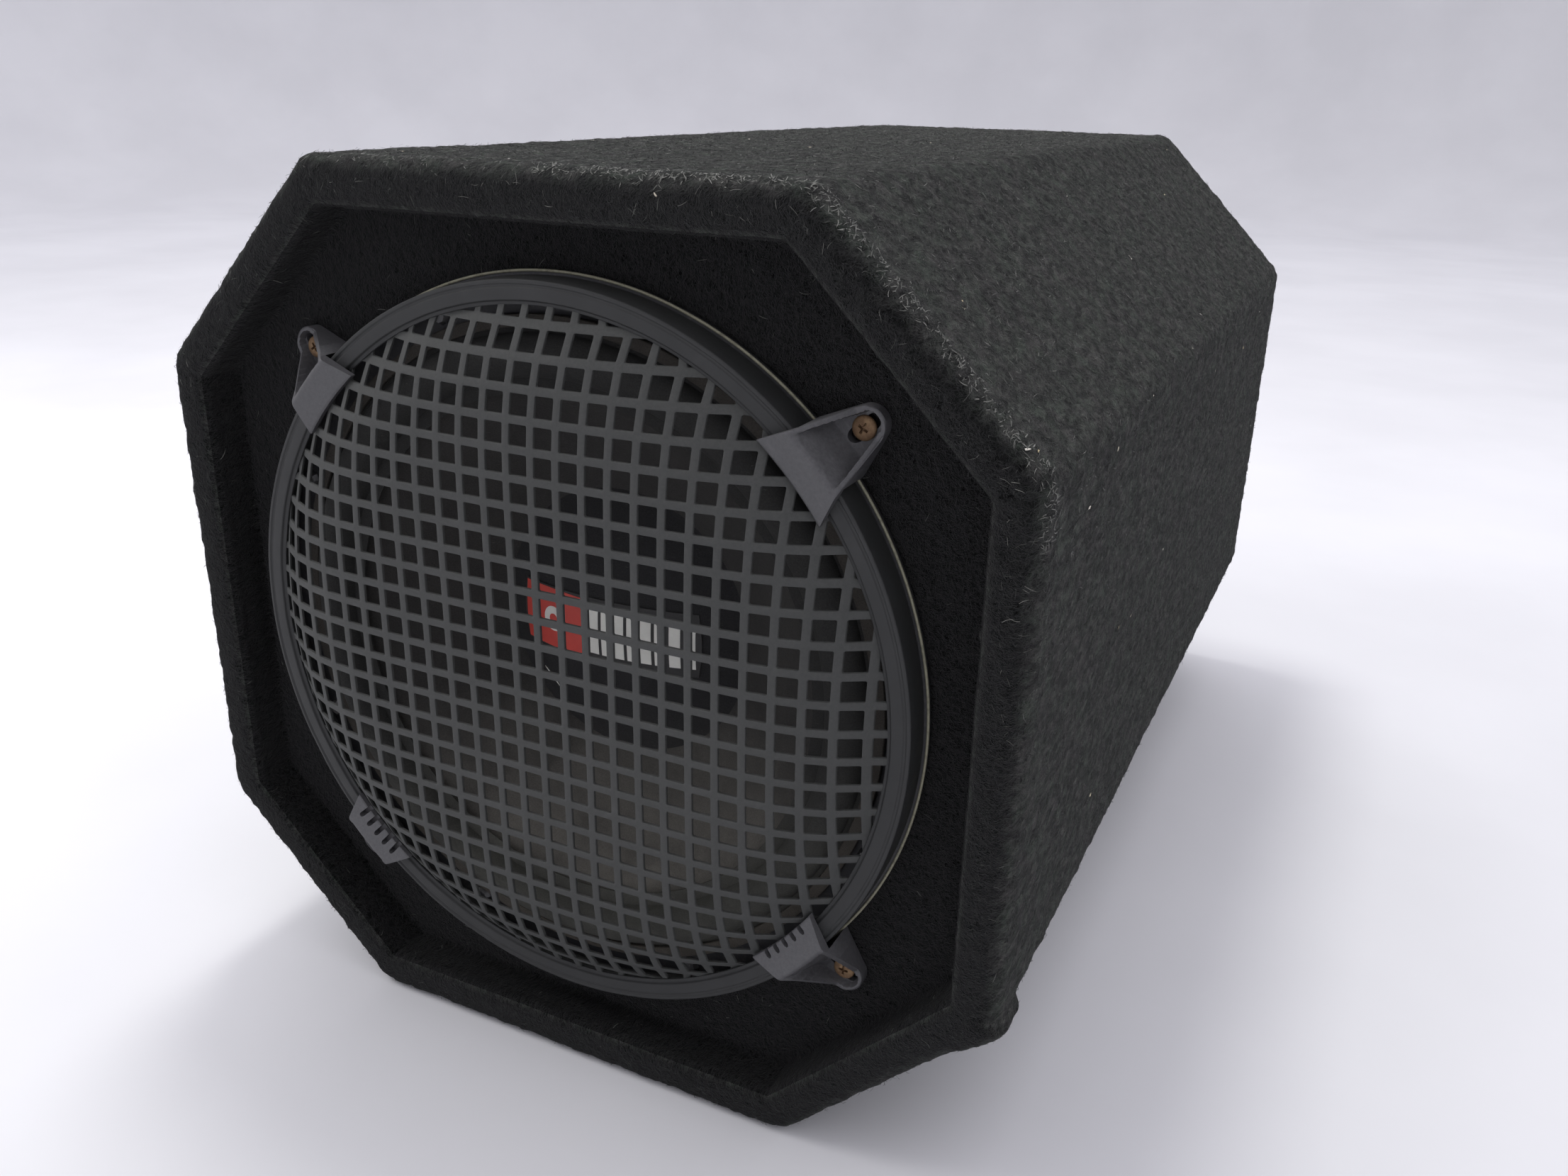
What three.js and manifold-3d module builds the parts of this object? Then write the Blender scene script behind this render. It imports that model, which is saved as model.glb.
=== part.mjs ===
// Car subwoofer: a carpeted octagonal bass box with one twelve-inch driver behind a waffle grille.
// Millimetres. +X right, +Y to the back, +Z up; the grille faces -Y and the box stands on z = 0.
// Depths written "from the rim" count from the front edge of the box, positive into it.

import * as THREE from 'three';
import { mergeVertices } from 'three/addons/utils/BufferGeometryUtils.js';
import Module from 'manifold-3d';

const wasm = await Module();
wasm.setup();

// Box
const WIDTH = 402;
const HEIGHT = 398;
const DEPTH = 624;
const CHAMFER = 89;
const BOARD = 15;
const CARPET = 2;
const INNER_CARPET = 1.2;
const GAP = 0.3;
const RECESS = 20;
const BAFFLE = 18;
const CENTRE_Z = HEIGHT / 2;

// Grille, ring and clamps, as depths from the rim and radii from the driver's axis
const RING_R = 160;
const RING_FACE_R = 150;
const RING_FACE_Y = 2.1;
const RING_WALL = 2;
const FLANGE_R = 161.5;
const FLANGE_Y = 16.6;
const FLANGE_T = 3;
const MESH_PITCH = 23;
const MESH_HOLE = 19.3;
const MESH_T = 2.4;
const MESH_BASE_Y = 4.6;
const MESH_RISE = 19.6;
const MESH_POWER = 7;
const CLAMP_ANGLES = [42, 137, 226, 319];
const CLAMP_NAMES = ['upper_right', 'upper_left', 'lower_left', 'lower_right'];
const CLAMP_SCREW_R = 175;
const CLAMP_LIP_R = 147;
const CLAMP_RIDGE_R = 159.2;
const CLAMP_RIDGE_Y = -3.2;
const CLAMP_END_R = 184.6;
const EAR_T = 2.8;

// Driver
const CUTOUT_R = 141;
const BOLT_R = 151;
const BOLT_COUNT = 8;
const SURROUND_R = 138;
const CONE_R = 119;
const CONE_Y = 16.8;
const CONE_SLOPE = 0.75;
const CONE_T = 1.2;
const CAP_R = 62;
const CAP_RISE = 15;
const COIL_R = 27;
const SPIDER_Y = 92;
const PLATE_Y = 112;
const PLATE_T = 8;
const MAGNET_T = 30;
const BACK_T = 8;
const MOTOR_R = 72;

// Terminal cup in the back
const CUP_Z = 150;
const CUP_W = 92;
const CUP_H = 72;
const CUP_HOLE_W = 70;
const CUP_HOLE_H = 50;
const CUP_DEEP = 26;
const CUP_WALL = 2;
const CUP_FLANGE = 2.5;
const TERMINAL_X = 12.7;
const PIVOT_Y = DEPTH - 11.5;
const PIVOT_Z = CUP_Z + 6;

const SCREW_HEAD_T = 2.2;
const FRONT_MOST = MESH_BASE_Y - MESH_RISE;
const REAR_MOST = DEPTH + GAP + CUP_FLANGE + GAP + SCREW_HEAD_T;
const RIM_Y = -(FRONT_MOST + REAR_MOST) / 2;

const FELT = { color: 0x16181a, roughness: 0.97, metalness: 0 };
const FELT_DARK = { color: 0x101113, roughness: 0.98, metalness: 0 };
const WOOD = { color: 0x9a7a55, roughness: 0.8, metalness: 0 };
const GREY_PLASTIC = { color: 0x2f3136, roughness: 0.55, metalness: 0 };
const BLACK_PLASTIC = { color: 0x17181a, roughness: 0.5, metalness: 0 };
const BLACK_STEEL = { color: 0x1b1c1e, roughness: 0.5, metalness: 0.4 };
const PLATED_STEEL = { color: 0x8d8f92, roughness: 0.4, metalness: 0.9 };
const RUSTY_BRASS = { color: 0x8a6a3e, roughness: 0.6, metalness: 0.7 };
const FERRITE = { color: 0x2a2a2c, roughness: 0.75, metalness: 0.1 };
const PULP = { color: 0x2b2a28, roughness: 0.9, metalness: 0 };
const FOAM = { color: 0x1a1a1a, roughness: 0.85, metalness: 0 };
const CLOTH_AMBER = { color: 0x8c6a2c, roughness: 0.9, metalness: 0 };
const COPPER = { color: 0xa85f32, roughness: 0.4, metalness: 0.9 };
const KRAFT = { color: 0x9c8a66, roughness: 0.9, metalness: 0 };
const RED = { color: 0xa8281f, roughness: 0.5, metalness: 0 };
const PALE = { color: 0xd8d8d4, roughness: 0.5, metalness: 0 };

const root = new THREE.Group();

function addMesh(name, geometry, look) {
  geometry.deleteAttribute('uv');
  geometry.computeVertexNormals();
  const mesh = new THREE.Mesh(geometry, new THREE.MeshStandardMaterial(look));
  mesh.name = name;
  mesh.position.set(0, RIM_Y, 0);
  root.add(mesh);
  return mesh;
}

function toManifold(geometry) {
  const bare = geometry.clone();
  bare.deleteAttribute('normal');
  bare.deleteAttribute('uv');
  const merged = mergeVertices(bare, 1e-4);
  const index = merged.index.array;
  const kept = [];
  for (let i = 0; i < index.length; i += 3) {
    const [a, b, c] = [index[i], index[i + 1], index[i + 2]];
    if (a !== b && b !== c && a !== c) {
      kept.push(a, b, c);
    }
  }
  return new wasm.Manifold(new wasm.Mesh({
    numProp: 3,
    vertProperties: new Float32Array(merged.attributes.position.array),
    triVerts: new Uint32Array(kept),
  }));
}

function toGeometry(solid) {
  const mesh = solid.getMesh();
  const geometry = new THREE.BufferGeometry();
  geometry.setAttribute('position', new THREE.BufferAttribute(mesh.vertProperties, 3));
  geometry.setIndex(new THREE.BufferAttribute(mesh.triVerts, 1));
  return geometry;
}

function cutAll(geometry, tools) {
  let solid = toManifold(geometry);
  tools.forEach((tool) => {
    solid = solid.subtract(toManifold(tool));
  });
  return toGeometry(solid);
}

function joinAll(parts) {
  const [first, ...others] = parts;
  let solid = toManifold(first);
  others.forEach((part) => {
    solid = solid.add(toManifold(part));
  });
  return toGeometry(solid);
}

function box(x0, x1, y0, y1, z0, z1) {
  const geometry = new THREE.BoxGeometry(x1 - x0, y1 - y0, z1 - z0);
  return geometry.translate((x0 + x1) / 2, (y0 + y1) / 2, (z0 + z1) / 2);
}

// Cylinder along Y
function rod(radius, y0, y1, x, z, sides) {
  const geometry = new THREE.CylinderGeometry(radius, radius, y1 - y0, sides);
  return geometry.translate(x, (y0 + y1) / 2, z);
}

// Closed ring or solid turned about Y; the profile holds [radius, depth] pairs in either order
function turned(profile, sides) {
  let area = 0;
  profile.forEach(([r0, y0], i) => {
    const [r1, y1] = profile[(i + 1) % profile.length];
    area += r0 * y1 - r1 * y0;
  });
  const ordered = area > 0 ? [...profile] : [...profile].reverse();
  const onAxis = ordered.some(([r]) => r === 0);
  if (onAxis) {
    while (!(ordered[0][0] === 0 && ordered[ordered.length - 1][0] === 0)) {
      ordered.push(ordered.shift());
    }
  } else {
    ordered.push(ordered[0]);
  }
  return new THREE.LatheGeometry(ordered.map(([r, y]) => new THREE.Vector2(r, y)), sides);
}

function onDriverAxis(geometry) {
  return geometry.translate(0, 0, CENTRE_Z);
}

// Octagon of the box's section, moved inwards by an inset
function octagon(inset) {
  const a = WIDTH / 2 - inset;
  const b = HEIGHT / 2 - inset;
  const c = CHAMFER - inset * (2 - Math.SQRT2);
  return [
    [-a + c, b], [a - c, b], [a, b - c], [a, -b + c],
    [a - c, -b], [-a + c, -b], [-a, -b + c], [-a, b - c],
  ].map(([x, z]) => new THREE.Vector2(x, z + CENTRE_Z));
}

// Outline in X and Z pushed along Y
function prism(outline, y0, y1) {
  const geometry = new THREE.ExtrudeGeometry(new THREE.Shape(outline), {
    depth: y1 - y0,
    bevelEnabled: false,
  });
  return geometry.rotateX(Math.PI / 2).translate(0, y1, 0);
}

function polar(radius, degrees) {
  const angle = THREE.MathUtils.degToRad(degrees);
  return [radius * Math.cos(angle), CENTRE_Z + radius * Math.sin(angle)];
}

const boltAngles = Array.from({ length: BOLT_COUNT }, (_, i) => 22.5 + i * (360 / BOLT_COUNT));

function addBoards() {
  const names = [
    'top', 'upper_right', 'right', 'lower_right', 'bottom', 'lower_left', 'left', 'upper_left',
  ];
  const outer = octagon(CARPET + GAP);
  const inner = octagon(CARPET + GAP + BOARD);
  names.forEach((name, i) => {
    const j = (i + 1) % 8;
    const side = new THREE.Vector2().subVectors(outer[j], outer[i]).normalize();
    const slip = side.clone().multiplyScalar(GAP / 2 / Math.cos(Math.PI / 8));
    const outline = [
      outer[i].clone().add(slip),
      outer[j].clone().sub(slip),
      inner[j].clone().sub(slip),
      inner[i].clone().add(slip),
    ];
    addMesh(`panel_${name}`, prism(outline, CARPET + GAP, DEPTH - CARPET - GAP), WOOD);
  });
}

function addBaffles() {
  const holes = [
    ...boltAngles.map((angle) => polar(BOLT_R, angle)),
    ...CLAMP_ANGLES.map((angle) => polar(CLAMP_SCREW_R, angle)),
  ];
  const pilots = (y0, y1) => holes.map(([x, z]) => rod(2.4, y0, y1, x, z, 6));
  const front = RECESS + CARPET + GAP;
  const baffle = prism(octagon(CARPET + BOARD + 2 * GAP), front, front + BAFFLE);
  addMesh('front_baffle', cutAll(baffle, [
    rod(CUTOUT_R, 0, 100, 0, CENTRE_Z, 40),
    ...pilots(0, 100),
  ]), WOOD);
  const sheet = prism(octagon(CARPET + BOARD + 2 * GAP), RECESS, RECESS + CARPET);
  addMesh('carpet_baffle', cutAll(sheet, [
    rod(CUTOUT_R, 0, 100, 0, CENTRE_Z, 40),
    ...pilots(0, 100),
  ]), FELT_DARK);

  const back = DEPTH - CARPET - GAP;
  const cupHoles = [
    box(
      -CUP_HOLE_W / 2, CUP_HOLE_W / 2, back - 50, back + 50,
      CUP_Z - CUP_HOLE_H / 2, CUP_Z + CUP_HOLE_H / 2,
    ),
    ...cupScrewSpots().map(([x, z]) => rod(1.6, back - 50, back + 50, x, z, 8)),
  ];
  const rear = prism(octagon(CARPET + BOARD + 2 * GAP), back - BOARD, back);
  addMesh('rear_panel', cutAll(rear, cupHoles), WOOD);
  const cover = prism(octagon(CARPET + GAP), DEPTH - CARPET, DEPTH);
  addMesh('carpet_rear', cutAll(cover, cupHoles), FELT);
}

function addCarpet() {
  const outside = toManifold(prism(octagon(0), 0, DEPTH));
  const boards = toManifold(prism(octagon(CARPET), CARPET, DEPTH + 10));
  const lipOut = octagon(CARPET + BOARD + 2 * GAP);
  const lip = toManifold(prism(lipOut, 0, RECESS - GAP));
  const mouth = toManifold(prism(octagon(CARPET + BOARD + 2 * GAP + INNER_CARPET), -10, DEPTH));
  const half = WIDTH / 2 - CHAMFER;
  const under = toManifold(box(-half - 1, half + 1, -10, DEPTH + 10, -10, CARPET + GAP));
  const wrap = outside.subtract(boards).add(lip).subtract(mouth).subtract(under);
  addMesh('carpet_wrap', toGeometry(wrap), FELT);
  addMesh('carpet_bottom', box(-half + 0.3, half - 0.3, 0, DEPTH, 0, CARPET), FELT);
}

function addScrew(name, x, z, faceY, headR, shankR, length, look) {
  const profile = [
    [0, faceY - SCREW_HEAD_T],
    [headR * 0.7, faceY - SCREW_HEAD_T],
    [headR, faceY],
    [shankR, faceY],
    [0, faceY + length],
  ];
  addMesh(name, turned(profile, 8).translate(x, 0, z), look);
}

// Depth of the mesh's front face at a radius
function meshDepth(radius) {
  const share = Math.min(radius / RING_FACE_R, 1);
  return MESH_BASE_Y - MESH_RISE * (1 - share ** MESH_POWER);
}

// Crossing bars laid on the dome: square holes on a square pitch, one hole on the axis
function latticeGeometry() {
  const reach = 7;
  const lines = [];
  for (let i = -reach; i <= reach; i += 1) {
    lines.push(i * MESH_PITCH - MESH_HOLE / 2, i * MESH_PITCH + MESH_HOLE / 2);
  }
  const count = lines.length;
  const points = [];
  [0, MESH_T].forEach((drop) => {
    lines.forEach((z) => {
      lines.forEach((x) => points.push(x, meshDepth(Math.hypot(x, z)) + drop, z + CENTRE_Z));
    });
  });
  const at = (i, j, back) => back * count * count + j * count + i;
  const index = [];
  const quad = (a, b, c, d) => index.push(a, b, c, a, c, d);
  const inside = (k) => k >= 0 && k < count - 1;
  const isBar = (i, j) => inside(i) && inside(j) && (i % 2 === 1 || j % 2 === 1);
  for (let j = 0; j < count - 1; j += 1) {
    for (let i = 0; i < count - 1; i += 1) {
      if (isBar(i, j)) {
        quad(at(i, j, 0), at(i + 1, j, 0), at(i + 1, j + 1, 0), at(i, j + 1, 0));
        quad(at(i, j, 1), at(i, j + 1, 1), at(i + 1, j + 1, 1), at(i + 1, j, 1));
        if (!isBar(i - 1, j)) {
          quad(at(i, j, 0), at(i, j + 1, 0), at(i, j + 1, 1), at(i, j, 1));
        }
        if (!isBar(i + 1, j)) {
          quad(at(i + 1, j, 0), at(i + 1, j, 1), at(i + 1, j + 1, 1), at(i + 1, j + 1, 0));
        }
        if (!isBar(i, j - 1)) {
          quad(at(i, j, 0), at(i, j, 1), at(i + 1, j, 1), at(i + 1, j, 0));
        }
        if (!isBar(i, j + 1)) {
          quad(at(i, j + 1, 0), at(i + 1, j + 1, 0), at(i + 1, j + 1, 1), at(i, j + 1, 1));
        }
      }
    }
  }
  const geometry = new THREE.BufferGeometry();
  geometry.setAttribute('position', new THREE.Float32BufferAttribute(points, 3));
  geometry.setIndex(index);
  return geometry;
}

function addGrille() {
  const lattice = toManifold(latticeGeometry());
  const disc = toManifold(rod(148, -60, 60, 0, CENTRE_Z, 60));
  const seat = MESH_BASE_Y + MESH_T;
  const band = toManifold(onDriverAxis(turned([
    [146, meshDepth(146)],
    [150, MESH_BASE_Y],
    [157.4, MESH_BASE_Y],
    [157.4, FLANGE_Y - GAP],
    [155.6, FLANGE_Y - GAP],
    [155.6, seat],
    [150, seat],
    [146, meshDepth(146) + MESH_T],
  ], 60)));
  addMesh('grille', toGeometry(lattice.intersect(disc).add(band)), GREY_PLASTIC);

  const ring = turned([
    [RING_FACE_R, RING_FACE_Y],
    [RING_R - 0.8, RING_FACE_Y],
    [RING_R, RING_FACE_Y + 0.8],
    [RING_R, FLANGE_Y - GAP],
    [RING_R - RING_WALL, FLANGE_Y - GAP],
    [RING_R - RING_WALL, MESH_BASE_Y - GAP],
    [RING_FACE_R, MESH_BASE_Y - GAP],
  ], 60);
  addMesh('grille_ring', onDriverAxis(ring), GREY_PLASTIC);
}

// Plan of a clamp, with X radial: wide at the lip, tapering to a round end
function clampPlan(inset, start) {
  const endR = 7.4;
  const centre = CLAMP_END_R - endR;
  const lipHalf = 19.3;
  const taper = Math.atan2(lipHalf - endR, centre - CLAMP_LIP_R);
  const wide = lipHalf - (start - CLAMP_LIP_R) * Math.tan(taper) - inset / Math.cos(taper);
  const outline = [new THREE.Vector2(start, -wide)];
  const turn = Math.PI / 2 - taper;
  for (let i = 0; i <= 8; i += 1) {
    const angle = -turn + (2 * turn * i) / 8;
    outline.push(new THREE.Vector2(
      centre + (endR - inset) * Math.cos(angle),
      (endR - inset) * Math.sin(angle),
    ));
  }
  outline.push(new THREE.Vector2(start, wide));
  return outline;
}

function clampSolid() {
  const floor = RECESS - GAP;
  const plan = toManifold(prism(clampPlan(0, CLAMP_LIP_R - 6), -10, floor));
  const side = new THREE.Shape([
    [CLAMP_LIP_R - 6, 0.4],
    [CLAMP_LIP_R, -0.6],
    [CLAMP_RIDGE_R, CLAMP_RIDGE_Y],
    [CLAMP_RIDGE_R + 5.6, 1.6],
    [178, 13.2],
    [CLAMP_END_R + 1, 14.6],
    [CLAMP_END_R + 1, 40],
    [CLAMP_LIP_R - 6, 40],
  ].map(([r, y]) => new THREE.Vector2(r, y)));
  const wall = new THREE.ExtrudeGeometry(side, { depth: 60, bevelEnabled: false }).translate(0, 0, -30);
  const pocket = toManifold(prism(clampPlan(1.8, 166), -20, floor - EAR_T));
  const slot = new THREE.Shape();
  slot.absarc(171.5, 0, 2.9, Math.PI / 2, (3 * Math.PI) / 2, false);
  slot.absarc(178.5, 0, 2.9, -Math.PI / 2, Math.PI / 2, false);
  const slotCut = new THREE.ExtrudeGeometry(slot, { depth: 60, bevelEnabled: false, curveSegments: 6 });
  slotCut.rotateX(Math.PI / 2).translate(0, 30, 0);
  return plan
    .intersect(toManifold(wall))
    .subtract(toManifold(rod(CLAMP_LIP_R, -60, 60, 0, 0, 96)))
    .subtract(toManifold(rod(FLANGE_R + 0.5, RING_FACE_Y - 0.8, 60, 0, 0, 96)))
    .subtract(pocket)
    .subtract(toManifold(slotCut));
}

function addClamps() {
  const solid = clampSolid();
  CLAMP_ANGLES.forEach((angle, i) => {
    const geometry = toGeometry(solid).rotateY(THREE.MathUtils.degToRad(-angle));
    addMesh(`clamp_${CLAMP_NAMES[i]}`, onDriverAxis(geometry), BLACK_PLASTIC);
    const [x, z] = polar(CLAMP_SCREW_R, angle);
    addScrew(`clamp_screw_${CLAMP_NAMES[i]}`, x, z, RECESS - GAP - EAR_T - GAP, 4.6, 2, 24, RUSTY_BRASS);
  });
}

function coneDepth(radius) {
  return CONE_Y + (CONE_R - radius) * CONE_SLOPE;
}

function addBasket() {
  const under = FLANGE_Y + FLANGE_T;
  const landing = SPIDER_Y + 0.4 + GAP;
  const shell = toManifold(turned([
    [137, FLANGE_Y],
    [FLANGE_R, FLANGE_Y],
    [FLANGE_R, under],
    [139, under],
    [137, under + 6],
    [96, landing + 6],
    [96, landing + 13],
    [60, PLATE_Y - GAP],
    [34, PLATE_Y - GAP],
    [34, PLATE_Y - 3],
    [59, PLATE_Y - 3],
    [92, landing + 10],
    [92, landing + 2],
    [80, landing + 2],
    [80, landing],
    [94, landing],
    [134, under + 4],
  ], 32));
  let basket = shell;
  for (let i = 0; i < 6; i += 1) {
    const window = new THREE.Shape([
      [-22, 62], [22, 62], [42, 130], [-42, 130],
    ].map(([t, r]) => new THREE.Vector2(t, r)));
    const cut = new THREE.ExtrudeGeometry(window, { depth: 61, bevelEnabled: false });
    cut.rotateX(Math.PI / 2).translate(0, 89, 0).rotateY(THREE.MathUtils.degToRad(60 * i));
    const keep = toManifold(rod(104, 60, 130, 0, 0, 48));
    basket = basket.subtract(toManifold(cut).subtract(keep));
    const low = new THREE.Shape([
      [-14, 66], [14, 66], [20, 86], [-20, 86],
    ].map(([t, r]) => new THREE.Vector2(t, r)));
    const lowCut = new THREE.ExtrudeGeometry(low, { depth: 12, bevelEnabled: false });
    lowCut.rotateX(Math.PI / 2).translate(0, PLATE_Y, 0).rotateY(THREE.MathUtils.degToRad(60 * i));
    basket = basket.subtract(toManifold(lowCut));
  }
  boltAngles.forEach((angle) => {
    const [x, z] = polar(BOLT_R, angle);
    basket = basket.subtract(toManifold(rod(2.9, 0, under + 1, x, z - CENTRE_Z, 8)));
  });
  addMesh('basket', onDriverAxis(toGeometry(basket)), BLACK_STEEL);
}

function ringOf(name, inner, outer, y0, y1, sides, look) {
  addMesh(name, onDriverAxis(turned([[inner, y0], [outer, y0], [outer, y1], [inner, y1]], sides)), look);
}

function addMotor() {
  const magnetY = PLATE_Y + PLATE_T + GAP;
  const backY = magnetY + MAGNET_T + GAP;
  ringOf('top_plate', COIL_R + 2.6, 60, PLATE_Y, PLATE_Y + PLATE_T, 40, PLATED_STEEL);
  ringOf('magnet', 36, MOTOR_R, magnetY, magnetY + MAGNET_T, 40, FERRITE);
  addMesh('yoke', onDriverAxis(turned([
    [0, PLATE_Y - 1],
    [COIL_R - 2.6, PLATE_Y - 1],
    [COIL_R - 2, PLATE_Y + 1],
    [COIL_R - 2, backY],
    [62, backY],
    [60, backY + BACK_T],
    [0, backY + BACK_T],
  ], 40)), PLATED_STEEL);
}

// Half-roll edge between the cone and the frame, with a flat glued lip on each side
function addSurround() {
  const rollR = (SURROUND_R - CONE_R - 1) / 2;
  const middle = CONE_R + 1 + rollR;
  const front = FLANGE_Y - GAP - 1.2;
  const profile = [[SURROUND_R + 7, front + 1.2], [SURROUND_R + 7, front]];
  for (let i = 0; i <= 5; i += 1) {
    const angle = (Math.PI * i) / 5;
    profile.push([middle + rollR * Math.cos(angle), front - rollR * Math.sin(angle)]);
  }
  profile.push([CONE_R - 5, front], [CONE_R - 5, front + 1.2]);
  for (let i = 0; i <= 5; i += 1) {
    const angle = Math.PI - (Math.PI * i) / 5;
    const inner = rollR - 1.2;
    profile.push([middle + inner * Math.cos(angle), front + 1.2 - rollR * Math.sin(angle)]);
  }
  addMesh('surround', onDriverAxis(turned(profile, 36)), FOAM);
  ringOf('surround_gasket', 140, 145.4, front - GAP - 1.6, front - GAP, 36, KRAFT);
}

// Corrugated suspension disc round the coil former
function addSpider() {
  const front = [];
  const rear = [];
  const steps = 7;
  for (let i = 0; i <= steps; i += 1) {
    const radius = COIL_R + 1.6 + (i * (90 - COIL_R - 1.6)) / steps;
    const lip = i >= steps - 1;
    const wave = i === 0 || lip ? 0 : (i % 2 === 0 ? -1.6 : 1.6);
    const depth = SPIDER_Y + wave;
    front.push([radius, depth - 0.4]);
    rear.push([radius, depth + 0.4]);
  }
  addMesh('spider', onDriverAxis(turned([...front, ...rear.reverse()], 30)), CLOTH_AMBER);
}

function addMovingParts() {
  const neck = coneDepth(COIL_R);
  addMesh('cone', onDriverAxis(turned([
    [CONE_R, CONE_Y - 0.2],
    [CONE_R, CONE_Y + CONE_T],
    [COIL_R + 1, neck + CONE_T],
    [COIL_R + 1, neck - 0.6],
  ], 56)), PULP);
  const foot = coneDepth(CAP_R) - 0.9;
  const front = [];
  const rear = [];
  for (let i = 0; i <= 4; i += 1) {
    const radius = (CAP_R * i) / 4;
    const lift = CAP_RISE * (1 - (radius / CAP_R) ** 2);
    front.push([radius, foot - 1 - lift]);
    rear.push([radius, foot - lift]);
  }
  addMesh('dust_cap', onDriverAxis(turned([...front, ...rear.reverse()], 32)), PULP);
  ringOf('coil_former', COIL_R - 0.5, COIL_R + 0.1, neck - 2, PLATE_Y + PLATE_T + 8, 32, KRAFT);
  ringOf('voice_coil', COIL_R + 0.4, COIL_R + 1.4, PLATE_Y - 6, PLATE_Y + PLATE_T + 6, 32, COPPER);
}

// Printed strip across the dust cap: a thin curved plate that follows the cap
function addBadge() {
  const [halfW, halfH, thick] = [43, 14, 0.5];
  const strip = toManifold(box(-halfW, halfW, -60, 90, -halfH, halfH));
  const foot = coneDepth(CAP_R) - 0.9 - 1 - 0.3;
  const front = [];
  const rear = [];
  for (let i = 0; i <= 4; i += 1) {
    const radius = (CAP_R * i) / 4;
    const lift = CAP_RISE * (1 - (radius / CAP_R) ** 2);
    front.push([radius, foot - thick - lift]);
    rear.push([radius, foot - lift]);
  }
  const cap = toManifold(turned([...front, ...rear.reverse()], 32));
  addMesh('badge', onDriverAxis(toGeometry(cap.intersect(strip))), PALE);
}

function tube(name, points, radius, steps, look) {
  const section = new THREE.Shape();
  for (let i = 0; i < 6; i += 1) {
    const angle = (Math.PI * i) / 3;
    const [x, y] = [radius * Math.cos(angle), radius * Math.sin(angle)];
    if (i === 0) {
      section.moveTo(x, y);
    } else {
      section.lineTo(x, y);
    }
  }
  const knots = points.map(([x, y, z]) => new THREE.Vector3(x, y, z));
  const curve = new THREE.CatmullRomCurve3(knots, false, 'catmullrom', 0.2);
  const geometry = new THREE.ExtrudeGeometry(section, { steps, extrudePath: curve, bevelEnabled: false });
  addMesh(name, geometry, look);
}

function addWiring() {
  const boardY = SPIDER_Y + 8;
  const under = CENTRE_Z - 96 - GAP;
  addMesh('driver_terminals', box(-14, 14, boardY, boardY + 10, under - 3, under), BLACK_PLASTIC);
  const floor = CARPET + GAP + BOARD + GAP + 2.4;
  [['black', -1], ['red', 1]].forEach(([colour, sign]) => {
    tube(`wire_${colour}`, [
      [sign * TERMINAL_X, DEPTH - 41.5, CUP_Z - 10],
      [sign * TERMINAL_X, DEPTH - 52, CUP_Z - 12],
      [sign * 8, DEPTH - 62, CUP_Z - 40],
      [sign * 3, DEPTH - 70, floor + 30],
      [sign * 3, DEPTH - 110, floor],
      [sign * 3, 330, floor],
      [sign * 3, 180, floor],
      [sign * 5, 122, floor + 12],
      [sign * 8, boardY + 10, under - 20],
      [sign * 8, boardY + 7.5, under - 4],
    ], 1.6, 30, sign > 0 ? RED : BLACK_PLASTIC);
    tube(`tinsel_${colour}`, [
      [sign * 8, boardY + 2, under - 3.4],
      [sign * 8, boardY - 8, CENTRE_Z - 113],
      [sign * 8, 68, CENTRE_Z - 109],
      [sign * 8, coneDepth(60) - 2, CENTRE_Z - 94],
      [sign * 8, coneDepth(60) + CONE_T + 1.4, CENTRE_Z - 60],
    ], 0.8, 10, COPPER);
  });
  const arch = box(-5.4, 5.4, 320, 340, floor - 10, floor + 2.2);
  addMesh('wire_clip', cutAll(box(-8, 8, 326, 334, floor - 2, floor + 4), [arch]), BLACK_PLASTIC);
}

function cupScrewSpots() {
  const corners = [[-1, -1], [1, -1], [1, 1], [-1, 1]];
  return corners.map(([i, j]) => [i * (CUP_W / 2 - 5.4), CUP_Z + j * (CUP_H / 2 - 5.4)]);
}

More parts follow.
